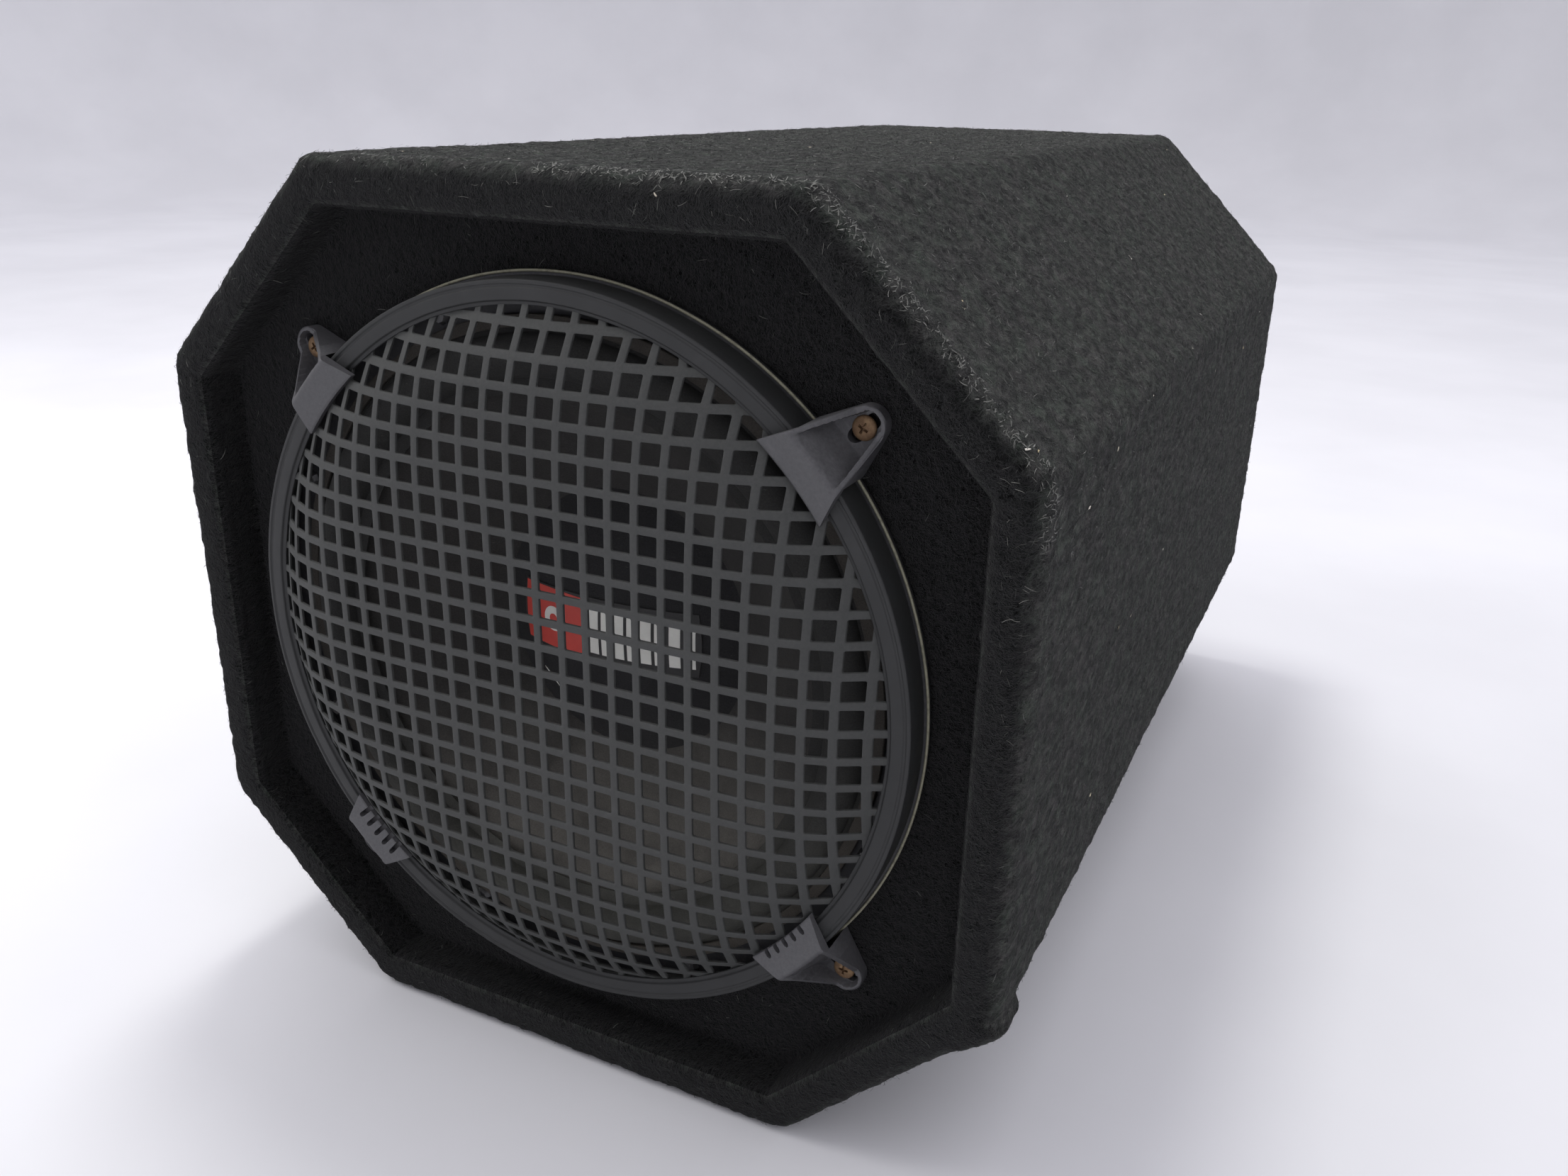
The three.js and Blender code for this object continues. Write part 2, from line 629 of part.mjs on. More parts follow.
function addTerminalCup() {
  const face = DEPTH + GAP;
  const [w, h] = [CUP_HOLE_W / 2 - GAP, CUP_HOLE_H / 2 - GAP];
  const floorY = face + CUP_FLANGE - CUP_DEEP;
  const blockTop = PIVOT_Y - 3.4 - GAP;
  const pivot = new THREE.Vector2(PIVOT_Y, PIVOT_Z);
  const cheeks = [[-26.6, -23], [-2.2, 2.2], [23, 26.6]].map(([x0, x1]) => (
    box(x0, x1, blockTop - 2, PIVOT_Y + 3, pivot.y - 4, pivot.y + 4)
  ));
  const body = joinAll([
    box(-CUP_W / 2, CUP_W / 2, face, face + CUP_FLANGE, CUP_Z - CUP_H / 2, CUP_Z + CUP_H / 2),
    box(-w, w, floorY - CUP_WALL, face + 1, CUP_Z - h, CUP_Z + h),
  ]);
  const hollow = box(
    -w + CUP_WALL, w - CUP_WALL, floorY, face + 20,
    CUP_Z - h + CUP_WALL, CUP_Z + h - CUP_WALL,
  );
  const hollowed = toManifold(body).subtract(toManifold(hollow));
  const block = toManifold(box(-27, 27, floorY - 1, blockTop, CUP_Z - 17, CUP_Z + 12));
  let cup = cheeks.reduce((solid, cheek) => solid.add(toManifold(cheek)), hollowed.add(block));
  [-TERMINAL_X, TERMINAL_X].forEach((x) => {
    const wireHole = rod(1.9, blockTop - 5, blockTop + 5, x, CUP_Z - 9, 10);
    const contactSlot = box(x - 3.5, x + 3.5, floorY - 10, floorY + 3, CUP_Z - 10.8, CUP_Z - 9.2);
    cup = cup.subtract(toManifold(wireHole)).subtract(toManifold(contactSlot));
  });
  cup = cup.subtract(toManifold(new THREE.CylinderGeometry(1.8, 1.8, 60, 12)
    .rotateZ(Math.PI / 2).translate(0, PIVOT_Y, PIVOT_Z)));
  cupScrewSpots().forEach(([x, z]) => {
    cup = cup.subtract(toManifold(rod(2, face - 20, face + 20, x, z, 8)));
  });
  addMesh('terminal_cup', toGeometry(cup), BLACK_PLASTIC);

  addMesh('lever_pin', new THREE.CylinderGeometry(1.5, 1.5, 53, 12)
    .rotateZ(Math.PI / 2).translate(0, PIVOT_Y, PIVOT_Z), PLATED_STEEL);
  [['black', -1, BLACK_PLASTIC], ['red', 1, RED]].forEach(([colour, sign, look]) => {
    const barrel = new THREE.CylinderGeometry(3.4, 3.4, 20, 16).rotateZ(Math.PI / 2);
    const bore = new THREE.CylinderGeometry(1.8, 1.8, 60, 12).rotateZ(Math.PI / 2);
    const lever = cutAll(joinAll([barrel, box(-10, 10, 0, 12.4, -1.4, 1.6)]), [bore]);
    addMesh(`lever_${colour}`, lever.translate(sign * TERMINAL_X, PIVOT_Y, PIVOT_Z), look);
    const x = sign * TERMINAL_X;
    const contact = box(x - 3.15, x + 3.15, floorY - 16, floorY + 2.6, CUP_Z - 10.4, CUP_Z - 9.6);
    addMesh(`contact_${colour}`, contact, PLATED_STEEL);
  });
  cupScrewSpots().forEach(([x, z], i) => {
    const profile = [
      [0, SCREW_HEAD_T], [2.4, SCREW_HEAD_T], [3.6, 0], [1.3, 0], [0, -18],
    ].map(([r, y]) => [r, y + face + CUP_FLANGE + GAP]);
    addMesh(`cup_screw_${i + 1}`, turned(profile, 8).translate(x, 0, z), PLATED_STEEL);
  });
}

addBoards();
addBaffles();
addCarpet();
addGrille();
addClamps();
addBasket();
boltAngles.forEach((angle, i) => {
  const [x, z] = polar(BOLT_R, angle);
  addScrew(`driver_screw_${i + 1}`, x, z, FLANGE_Y - GAP, 4.2, 2, 24, PLATED_STEEL);
});
addSurround();
addSpider();
addMotor();
addMovingParts();
addBadge();
addTerminalCup();
addWiring();

export default root;
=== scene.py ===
"""Looks of a carpeted car subwoofer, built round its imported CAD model.

Metres, +Z up, the grille faces -Y. Constants and sizes in the functions are millimetres unless they
say otherwise, and depths count backwards from the front edge of the box.
"""

import math
import random

import bmesh
import bpy
import numpy as np
from mathutils import Matrix, Vector, noise


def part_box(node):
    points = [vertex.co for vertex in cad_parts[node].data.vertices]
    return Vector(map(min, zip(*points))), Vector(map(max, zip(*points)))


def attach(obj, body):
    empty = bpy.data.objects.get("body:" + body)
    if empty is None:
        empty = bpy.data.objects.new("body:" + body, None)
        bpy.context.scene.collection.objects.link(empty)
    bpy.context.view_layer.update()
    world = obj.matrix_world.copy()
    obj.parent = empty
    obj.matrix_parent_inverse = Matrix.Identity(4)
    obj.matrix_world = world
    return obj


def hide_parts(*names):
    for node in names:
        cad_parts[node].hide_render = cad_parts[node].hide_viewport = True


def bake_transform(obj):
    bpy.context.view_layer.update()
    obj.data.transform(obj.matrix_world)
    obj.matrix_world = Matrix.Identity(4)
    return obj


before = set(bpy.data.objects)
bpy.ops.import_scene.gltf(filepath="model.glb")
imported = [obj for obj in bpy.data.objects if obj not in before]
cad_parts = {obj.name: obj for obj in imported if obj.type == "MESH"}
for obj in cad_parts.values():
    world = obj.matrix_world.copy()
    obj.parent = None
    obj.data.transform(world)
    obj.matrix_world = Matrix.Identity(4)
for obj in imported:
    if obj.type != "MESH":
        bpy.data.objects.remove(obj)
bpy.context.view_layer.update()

MM = 0.001
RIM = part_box("carpet_wrap")[0][1]
RING_LOW, RING_HIGH = (np.array(corner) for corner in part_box("grille_ring"))
AXIS_X = (RING_LOW[0] + RING_HIGH[0]) / 2
AXIS_Z = (RING_LOW[2] + RING_HIGH[2]) / 2
MID_X, MID_Z = AXIS_X / MM, AXIS_Z / MM
WRAP_LOW, WRAP_HIGH = (np.array(corner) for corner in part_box("carpet_wrap"))
WIDTH = (WRAP_HIGH[0] - WRAP_LOW[0]) / MM
HEIGHT = WRAP_HIGH[2] / MM
DEPTH = (WRAP_HIGH[1] - WRAP_LOW[1]) / MM
CHAMFER = 89.0
RIM_T = 18.8
RECESS = 20.0
HOLE_R = 143.0
OUTER_EDGE = 8.0
BACK_EDGE = 9.5
SWELL = 1.7
RING_R = 160.0
RING_FACE_R = 150.0
RING_FACE_Y = 2.1
FLANGE_R = 161.5
FLANGE_Y = 16.6
MESH_PITCH = 11.5
MESH_HALF_HOLE = 4.12
MESH_T = 1.3
MESH_EDGE_R = 151.0
MESH_BASE_Y = 4.6
MESH_RISE = 19.6
MESH_POWER = 7
CUP_Z = 150.0
CUP_DEPTH = 26.0
CUP_HALF = (46.0, 36.0)  # half its width and height
CUP_INNER = (32.7, 22.7)
CUP_SCREW = (40.6, 30.6)
CONE_R = 119.0
CONE_Y = 16.8
CONE_SLOPE = 0.75
CAP_R = 62.0
CAP_RISE = 15.0
SPIDER_Y = 92.0
PLATE_Y = 112.0
CLAMPS = {"upper_right": 42, "upper_left": 137, "lower_left": 226, "lower_right": 319}
GAP = 0.3
EAR_T = 2.8
CLAMP_SCREW_R = 175.0
TERMINAL_X = 12.7
CAMERA_SPOT = (0.2997, -0.4003, 0.23095)  # metres from the driver's axis and the rim
CAMERA_TURN = (-25.63, -21.35, 1.34)  # yaw, pitch and roll in degrees
CAMERA_LENS = 29.72
seeded = random.Random(7)
numbers = np.random.default_rng(7)


# ---------------------------------------------------------------- camera, floor and light

def add_camera():
    data = bpy.data.cameras.new("camera")
    data.sensor_fit = "HORIZONTAL"
    data.sensor_width = 36.0
    data.lens = CAMERA_LENS
    yaw, pitch, roll = (math.radians(a) for a in CAMERA_TURN)
    forward = Vector((
        math.sin(yaw) * math.cos(pitch),
        math.cos(yaw) * math.cos(pitch),
        math.sin(pitch),
    ))
    level = Vector((math.cos(yaw), -math.sin(yaw), 0.0))
    upright = level.cross(forward)
    right = level * math.cos(roll) + upright * math.sin(roll)
    up = upright * math.cos(roll) - level * math.sin(roll)
    camera = bpy.data.objects.new("camera", data)
    place = Matrix((right, up, -forward)).transposed().to_4x4()
    place.translation = [a + b for a, b in zip((AXIS_X, RIM, AXIS_Z), CAMERA_SPOT)]
    camera.matrix_world = place
    bpy.context.collection.objects.link(camera)
    bpy.context.scene.camera = camera


def add_area(name, place, target, size, power, colour):
    data = bpy.data.lights.new(name, "AREA")
    data.shape = "DISK"
    data.size = size
    data.energy = power
    data.color = colour
    light = bpy.data.objects.new(name, data)
    light.location = place
    aim = Vector(target) - Vector(place)
    light.rotation_euler = aim.to_track_quat("-Z", "Y").to_euler()
    bpy.context.collection.objects.link(light)


def add_lights():
    bpy.context.scene.view_settings.view_transform = "Standard"
    world = bpy.data.worlds.new("studio")
    bpy.context.scene.world = world
    world.use_nodes = True
    tree = world.node_tree
    sky = tree.nodes["Background"]
    sky.inputs["Color"].default_value = (0.94, 0.93, 1.0, 1)
    way = tree.nodes.new("ShaderNodeTexCoord")
    split = tree.nodes.new("ShaderNodeSeparateXYZ")
    tree.links.new(way.outputs["Generated"], split.inputs["Vector"])
    ramps = []
    for axis, start, end, low, high in (("Z", 0.0, 1.0, 0.65, 1.3), ("Y", -0.8, 0.8, 0.5, 1.3)):
        ramp = tree.nodes.new("ShaderNodeMapRange")
        ramp.inputs["From Min"].default_value = start
        ramp.inputs["From Max"].default_value = end
        ramp.inputs["To Min"].default_value = low
        ramp.inputs["To Max"].default_value = high
        tree.links.new(split.outputs[axis], ramp.inputs["Value"])
        ramps.append(ramp.outputs["Result"])
    both = tree.nodes.new("ShaderNodeMath")
    both.operation = "MULTIPLY"
    for source, socket in zip(ramps, both.inputs):
        tree.links.new(source, socket)
    tree.links.new(both.outputs["Value"], sky.inputs["Strength"])
    add_area("key_above", (-0.3, 0.28, 2.0), (0, 0, 0), 0.45, 12, (1.0, 1.0, 0.97))
    add_area("fill_left", (-1.7, -0.75, 1.5), (0, 0, 0.2), 0.9, 12, (1.0, 0.99, 0.97))


# ---------------------------------------------------------------- meshes

def add_mesh(name, points, faces, material, angle=35):
    """A mesh piece from points in millimetres (x, depth, z) and faces, smooth but for sharp edges."""
    spots = np.asarray(points, float) * MM
    spots[:, 1] += RIM
    mesh = bpy.data.meshes.new(name)
    mesh.from_pydata(spots.tolist(), [], [tuple(int(i) for i in face) for face in faces])
    mesh.materials.append(material)
    mesh.polygons.foreach_set("use_smooth", np.ones(len(mesh.polygons), bool))
    mesh.update()
    if angle:
        mesh.set_sharp_from_angle(angle=math.radians(angle))
    piece = bpy.data.objects.new(name, mesh)
    bpy.context.collection.objects.link(piece)
    return piece


def face_outwards(piece):
    work = bmesh.new()
    work.from_mesh(piece.data)
    bmesh.ops.remove_doubles(work, verts=work.verts, dist=1e-7)
    bmesh.ops.recalc_face_normals(work, faces=work.faces)
    work.to_mesh(piece.data)
    work.free()
    return piece


def shade_smooth(piece, angle):
    """Smooth shading, but for edges sharper than the angle in degrees."""
    piece.data.polygons.foreach_set("use_smooth", np.ones(len(piece.data.polygons), bool))
    piece.data.set_sharp_from_angle(angle=math.radians(angle))


def circle(radius, count, x=0.0, z=0.0):
    turns = np.linspace(0, 2 * math.pi, count, endpoint=False)
    return [(x + radius * math.cos(a), z + radius * math.sin(a)) for a in turns]


def band_faces(rows, sides):
    """Quads between neighbouring rows of points that each go all the way round."""
    return [
        (i * sides + k, i * sides + (k + 1) % sides, (i + 1) * sides + (k + 1) % sides, (i + 1) * sides + k)
        for i in range(rows - 1) for k in range(sides)
    ]


def prism_faces(count):
    """Two ends and the sides between them, for two outlines of the same number of points."""
    faces = [tuple(range(count)), tuple(range(2 * count - 1, count - 1, -1))]
    return faces + [(i, (i + 1) % count, (i + 1) % count + count, i + count) for i in range(count)]


def settle(piece, body, slot, *nodes):
    """The piece rides on its body and stands for CAD nodes, which it hides; the slot is not used."""
    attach(piece, body)
    if nodes:
        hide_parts(*nodes)


def soften(loop, radius, steps=3):
    """Closed loop of 2-D points with each corner turned into an arc."""
    count = len(loop)
    rounded = []
    for i, here in enumerate(loop):
        here = Vector(here)
        before = Vector(loop[i - 1]) - here
        after = Vector(loop[(i + 1) % count]) - here
        cut = min(radius, before.length * 0.45, after.length * 0.45)
        if cut < 1e-4:
            rounded.append(tuple(here))
            continue
        start = here + before.normalized() * cut
        end = here + after.normalized() * cut
        for k in range(steps + 1):
            t = k / steps
            spot = start * (1 - t) ** 2 + here * 2 * t * (1 - t) + end * t ** 2
            rounded.append(tuple(spot))
    return rounded


def lathe(name, loop, material, sides=180, wobble=0.0, angle=35):
    """A piece turned about the driver's axis from a closed loop of (radius, depth)."""
    loop = np.asarray(loop, float)
    rows = len(loop)
    turn = np.linspace(0, 2 * np.pi, sides, endpoint=False)
    radius = np.repeat(loop[:, 0], sides)
    depth = np.repeat(loop[:, 1], sides)
    around = np.tile(turn, rows)
    points = np.stack([
        MID_X + radius * np.cos(around),
        depth,
        MID_Z + radius * np.sin(around),
    ], 1)
    if wobble:
        points[:, 1] += [wobble * noise.noise(Vector(p) * 0.06) for p in points]
    faces = []
    for i in range(rows):
        j = (i + 1) % rows
        if loop[i, 0] == 0 and loop[j, 0] == 0:
            continue
        for k in range(sides):
            m = (k + 1) % sides
            faces.append((i * sides + k, i * sides + m, j * sides + m, j * sides + k))
    piece = add_mesh(name, points, faces, material, 0)
    face_outwards(piece)
    piece.data.set_sharp_from_angle(angle=math.radians(angle))
    return piece


def prism_piece(name, outline, depth0, depth1, material):
    """A straight-sided solid from an outline of (x, z) points."""
    points = [(x, depth, z) for depth in (depth0, depth1) for x, z in outline]
    return face_outwards(add_mesh(name, points, prism_faces(len(outline)), material, 0))


def box_piece(name, low, high, material, edge, segments=3):
    """A block with rounded edges."""
    (x0, y0, z0), (x1, y1, z1) = low, high
    outline = [(x0, z0), (x1, z0), (x1, z1), (x0, z1)]
    piece = prism_piece(name, outline, y0, y1, material)
    round_edges(piece, edge, segments)
    return piece


def apply_modifiers(piece):
    bpy.context.view_layer.update()
    graph = bpy.context.evaluated_depsgraph_get()
    mesh = bpy.data.meshes.new_from_object(piece.evaluated_get(graph), depsgraph=graph)
    piece.modifiers.clear()
    old = piece.data
    piece.data = mesh
    mesh.name = piece.name
    bpy.data.meshes.remove(old)


def round_edges(piece, width, segments=3, angle=30):
    bevel = piece.modifiers.new("round", "BEVEL")
    bevel.width = width * MM
    bevel.segments = segments
    bevel.limit_method = "ANGLE"
    bevel.angle_limit = math.radians(angle)
    bevel.harden_normals = False
    apply_modifiers(piece)


def cut_away(piece, *tools):
    for tool in tools:
        cut = piece.modifiers.new("cut", "BOOLEAN")
        cut.operation = "DIFFERENCE"
        cut.solver = "EXACT"
        cut.object = tool
        apply_modifiers(piece)
        bpy.data.objects.remove(tool)


def join_pieces(pieces, name):
    work = bmesh.new()
    materials = []
    for piece in pieces:
        for material in piece.data.materials:
            if material not in materials:
                materials.append(material)
    for piece in pieces:
        order = [materials.index(m) for m in piece.data.materials]
        start = len(work.faces)
        piece.data.transform(piece.matrix_world)
        work.from_mesh(piece.data)
        work.faces.ensure_lookup_table()
        for face in work.faces[start:]:
            face.material_index = order[face.material_index]
    mesh = bpy.data.meshes.new(name)
    work.to_mesh(mesh)
    work.free()
    for material in materials:
        mesh.materials.append(material)
    for piece in pieces:
        bpy.data.objects.remove(piece)
    joined = bpy.data.objects.new(name, mesh)
    bpy.context.collection.objects.link(joined)
    return joined


# ---------------------------------------------------------------- materials

class Nodes:
    """A material's node tree, written one node at a time."""

    def __init__(self, name, roughness, metallic=0.0):
        self.material = bpy.data.materials.new(name)
        self.material.use_nodes = True
        self.tree = self.material.node_tree
        self.shader = self.tree.nodes["Principled BSDF"]
        self.shader.inputs["Roughness"].default_value = roughness
        self.shader.inputs["Metallic"].default_value = metallic
        self.place = self.tree.nodes.new("ShaderNodeTexCoord").outputs["Object"]

    def link(self, source, target):
        self.tree.links.new(source, target)

    def moved(self, scale, turn):
        node = self.tree.nodes.new("ShaderNodeMapping")
        node.inputs["Scale"].default_value = scale
        node.inputs["Rotation"].default_value = [math.radians(a) for a in turn]
        self.link(self.place, node.inputs["Vector"])
        return node.outputs["Vector"]

    def noise(self, scale, detail=3, vector=None, rough=0.5, distortion=0.0):
        node = self.tree.nodes.new("ShaderNodeTexNoise")
        node.inputs["Scale"].default_value = scale
        node.inputs["Detail"].default_value = detail
        node.inputs["Roughness"].default_value = rough
        node.inputs["Distortion"].default_value = distortion
        self.link(vector or self.place, node.inputs["Vector"])
        return node.outputs["Fac"]

    def cells(self, scale, vector):
        node = self.tree.nodes.new("ShaderNodeTexVoronoi")
        node.inputs["Scale"].default_value = scale
        self.link(vector, node.inputs["Vector"])
        return node.outputs["Distance"]

    def span(self, value, low, high, to_low=0.0, to_high=1.0):
        node = self.tree.nodes.new("ShaderNodeMapRange")
        node.inputs["From Min"].default_value = low
        node.inputs["From Max"].default_value = high
        node.inputs["To Min"].default_value = to_low
        node.inputs["To Max"].default_value = to_high
        self.link(value, node.inputs["Value"])
        return node.outputs["Result"]

    def math(self, kind, a, b=None):
        node = self.tree.nodes.new("ShaderNodeMath")
        node.operation = kind
        for socket, value in zip(node.inputs, (a, b)):
            if value is None:
                continue
            if isinstance(value, (int, float)):
                socket.default_value = value
            else:
                self.link(value, socket)
        return node.outputs["Value"]

    def mix(self, factor, a, b):
        node = self.tree.nodes.new("ShaderNodeMix")
        node.data_type = "RGBA"
        self.link(factor, node.inputs["Factor"])
        for socket, value in ((node.inputs[6], a), (node.inputs[7], b)):
            if isinstance(value, tuple):
                socket.default_value = (*value, 1)
            else:
                self.link(value, socket)
        return node.outputs[2]

    def facing(self, axis="Z"):
        """How far the surface faces up, or along another axis."""
        geometry = self.tree.nodes.new("ShaderNodeNewGeometry")
        split = self.tree.nodes.new("ShaderNodeSeparateXYZ")
        self.link(geometry.outputs["Normal"], split.inputs["Vector"])
        return split.outputs[axis]

    def attribute(self, name):
        node = self.tree.nodes.new("ShaderNodeAttribute")
        node.attribute_name = name
        return node.outputs["Fac"]

    def finish(self, colour, bump=None, depth=0.0003, strength=0.5, roughness=None):
        self.link(colour, self.shader.inputs["Base Color"])
        if roughness is not None:
            self.link(roughness, self.shader.inputs["Roughness"])
        if bump is not None:
            node = self.tree.nodes.new("ShaderNodeBump")
            node.inputs["Strength"].default_value = strength
            node.inputs["Distance"].default_value = depth
            self.link(bump, node.inputs["Height"])
            self.link(node.outputs["Normal"], self.shader.inputs["Normal"])
        return self.material


def felt(name, dark, light, fleck, dusty, sheen):
    """Needle felt: matted tufts, fibres lying every way, grey-green flecks, dust on top, and painted shade on
    what faces the front.
    """
    n = Nodes(name, 0.97)
    n.shader.inputs["Sheen Weight"].default_value = sheen
    n.shader.inputs["Sheen Roughness"].default_value = 0.35
    n.shader.inputs["Specular IOR Level"].default_value = 0.04
    drawn = n.moved((1, 0.5, 1), (0, 0, 0))
    swirl = n.tree.nodes.new("ShaderNodeTexNoise")
    swirl.inputs["Scale"].default_value = 150
    n.link(drawn, swirl.inputs["Vector"])
    warp = n.tree.nodes.new("ShaderNodeVectorMath")
    warp.operation = "MULTIPLY_ADD"
    n.link(swirl.outputs["Color"], warp.inputs[0])
    warp.inputs[1].default_value = (0.009, 0.009, 0.009)
    n.link(drawn, warp.inputs[2])
    curled = warp.outputs["Vector"]
    tufts = n.cells(210, curled)
    curls = n.cells(480, curled)
    ground = n.noise(340, 6, curled, 0.8)
    patches = n.noise(24, 3)
    relief = n.math("ADD", n.math("MULTIPLY", ground, 1.1), n.math("MULTIPLY", tufts, 0.35))
    relief = n.math("ADD", relief, n.math("MULTIPLY", curls, 0.25))
    tint = n.span(n.noise(110, 3), 0.38, 0.62)
    greenish = tuple(v * k for v, k in zip(light, (0.88, 1.04, 0.92)))
    purplish = tuple(v * k for v, k in zip(light, (1.12, 0.96, 1.08)))
    colour = n.mix(n.span(relief, 0.66, 1.05), dark, n.mix(tint, greenish, purplish))
    hairs = []
    for scale, turn in ((190, (0, 0, 20)), (300, (50, 15, 80)), (240, (15, 70, 140)), (430, (80, 40, 55))):
        wander = n.noise(scale, 2, n.moved((1, 0.55, 1), turn), 0.55, 0.6)
        hairs.append(n.span(n.math("ABSOLUTE", n.math("SUBTRACT", wander, 0.5)), 0.03, 0.008))
    thin = n.math("MULTIPLY", n.math("MAXIMUM", hairs[0], hairs[1]), n.span(ground, 0.4, 0.6))
    other = n.math("MAXIMUM", hairs[2], hairs[3])
    colour = n.mix(n.math("MULTIPLY", thin, 0.5), colour, fleck)
    colour = n.mix(n.math("MULTIPLY", other, 0.3), colour, tuple(v * 0.6 for v in fleck))
    colour = n.mix(n.span(n.noise(230, 3, drawn, 0.6), 0.38, 0.56, 0.62, 0.0), colour, dark)
    dust = n.math("MULTIPLY", n.span(n.facing(), 0.1, 0.95), n.span(patches, 0.3, 0.7, 0.35, 1.0))
    dust = n.math("MULTIPLY", dust, n.span(ground, 0.45, 0.65))
    colour = n.mix(n.math("MULTIPLY", dust, dusty), colour, (0.1, 0.105, 0.095))
    # Painted shade: surfaces that face the front (-Y) are darkened towards the dark colour, standing for the
    # front of the box lying in shade.
    front_painted_shade = n.span(n.facing("Y"), -0.95, -0.55, 0.92, 0.0)
    colour = n.mix(front_painted_shade, colour, dark)
    height = n.math("ADD", relief, n.math("MULTIPLY", n.math("ADD", thin, other), 0.2))
    return n.finish(colour, height, 0.003, 1.0)


def fibre(name, dark, light):
    n = Nodes(name, 0.9)
    n.shader.inputs["Specular IOR Level"].default_value = 0.2
    n.shader.inputs["Sheen Weight"].default_value = 0.2
    shade = n.attribute("shade")
    return n.finish(n.mix(shade, dark, light))


def plastic(name, base, rough, dust, dust_amount, grain=2600, scuffs=0.15):
    """Moulded plastic with a fine grain, dust that settles on what faces up, and dull scuffs."""
    n = Nodes(name, rough)
    fine = n.noise(grain, 3)
    blotch = n.noise(55, 4, rough=0.6)
    streaks = n.noise(1.0, 3, n.moved((60, 900, 60), (20, 0, 35)), 0.6)
    colour = n.mix(n.span(blotch, 0.3, 0.7), tuple(v * 0.82 for v in base), base)
    worn = n.math("MULTIPLY", n.span(streaks, 0.6, 0.72), scuffs)
    colour = n.mix(worn, colour, tuple(min(1, v * 1.7 + 0.03) for v in base))
    settle_up = n.span(n.facing(), -0.35, 0.8, 0.25, 1.0)
    specks = n.span(n.noise(700, 4, rough=0.7), 0.25, 0.75, 0.3, 0.9)
    film = n.math("MULTIPLY", n.math("MULTIPLY", settle_up, specks), dust_amount)
    colour = n.mix(film, colour, dust)
    dull = n.math("ADD", n.math("MULTIPLY", blotch, 0.6), film)
    shine = n.span(dull, 0.2, 0.9, rough - 0.08, min(0.95, rough + 0.25))
    return n.finish(colour, fine, 0.00012, 0.35, shine)


def metal(name, base, rough, spot, spot_amount, metallic=1.0, brushed=0.0):
    """Plated or painted metal with rust or grime spots."""
    n = Nodes(name, rough, metallic)
    patches = n.noise(420, 5, rough=0.7)
    wide = n.noise(90, 3)
    spread = n.math("ADD", n.math("MULTIPLY", patches, 0.7), n.math("MULTIPLY", wide, 0.3))
    mask = n.span(spread, 0.62 - spot_amount * 0.3, 0.7)
    colour = n.mix(n.span(wide, 0.3, 0.7), tuple(v * 0.85 for v in base), base)
    colour = n.mix(n.math("MULTIPLY", mask, min(1.0, spot_amount + 0.2)), colour, spot)
    shine = n.span(mask, 0.0, 1.0, rough, 0.85)
    n.link(n.span(mask, 0.0, 1.0, metallic, metallic * 0.25), n.shader.inputs["Metallic"])
    lines = n.noise(1.0, 2, n.moved((4000, 90, 4000), (0, 0, 0)))
    height = n.math("ADD", n.math("MULTIPLY", patches, 0.6), n.math("MULTIPLY", lines, brushed))
    return n.finish(colour, height, 0.0002, 0.5, shine)


def radial(n):
    """Distance from the driver's axis, in metres."""
    split = n.tree.nodes.new("ShaderNodeSeparateXYZ")
    n.link(n.place, split.inputs["Vector"])
    across = n.math("SUBTRACT", split.outputs["X"], float(AXIS_X))
    upward = n.math("SUBTRACT", split.outputs["Z"], float(AXIS_Z))
    square = n.math("ADD", n.math("MULTIPLY", across, across), n.math("MULTIPLY", upward, upward))
    return n.math("SQRT", square), across, upward


def pulp(name, base, dust, amount, ribs=True):
    """Pressed paper pulp under dust that lies thickest low in the cone."""
    n = Nodes(name, 0.92)
    reach, across, upward = radial(n)
    fine = n.noise(1500, 4, rough=0.7)
    hairs = n.noise(1.0, 3, n.moved((300, 300, 2200), (35, 0, 60)), 0.6, 1.0)
    cloud = n.noise(38, 4, rough=0.6)
    colour = n.mix(n.span(fine, 0.3, 0.7), tuple(v * 0.6 for v in base), tuple(v * 1.25 for v in base))
    low = n.span(n.math("SUBTRACT", n.math("MULTIPLY", across, 0.12), upward), 0.03, 0.105)
    lying = n.math("MULTIPLY", n.math("ADD", low, 0.12), n.span(cloud, 0.25, 0.7, 0.4, 1.0))
    film = n.math("MULTIPLY", lying, amount)
    film = n.math("MULTIPLY", film, n.span(fine, 0.2, 0.7, 0.55, 1.0))
    colour = n.mix(film, colour, dust)
    colour = n.mix(n.math("MULTIPLY", n.span(hairs, 0.66, 0.74), 0.35), colour, (0.16, 0.15, 0.13))
    height = n.math("ADD", fine, n.math("MULTIPLY", hairs, 0.5))
    if ribs:
        rings = n.math("SINE", n.math("MULTIPLY", reach, 1100.0))
        height = n.math("ADD", height, n.math("MULTIPLY", rings, 0.12))
    return n.finish(colour, height, 0.00035, 0.6)


def board_material():
    n = Nodes("raw_fibreboard", 0.85)
    chips = n.noise(700, 5, rough=0.7)
    wide = n.noise(30, 3)
    colour = n.mix(n.span(chips, 0.3, 0.7), (0.25, 0.17, 0.1), (0.42, 0.31, 0.19))
    colour = n.mix(n.span(wide, 0.4, 0.7, 0.0, 0.4), colour, (0.3, 0.2, 0.12))
    return n.finish(colour, chips, 0.0003, 0.5)


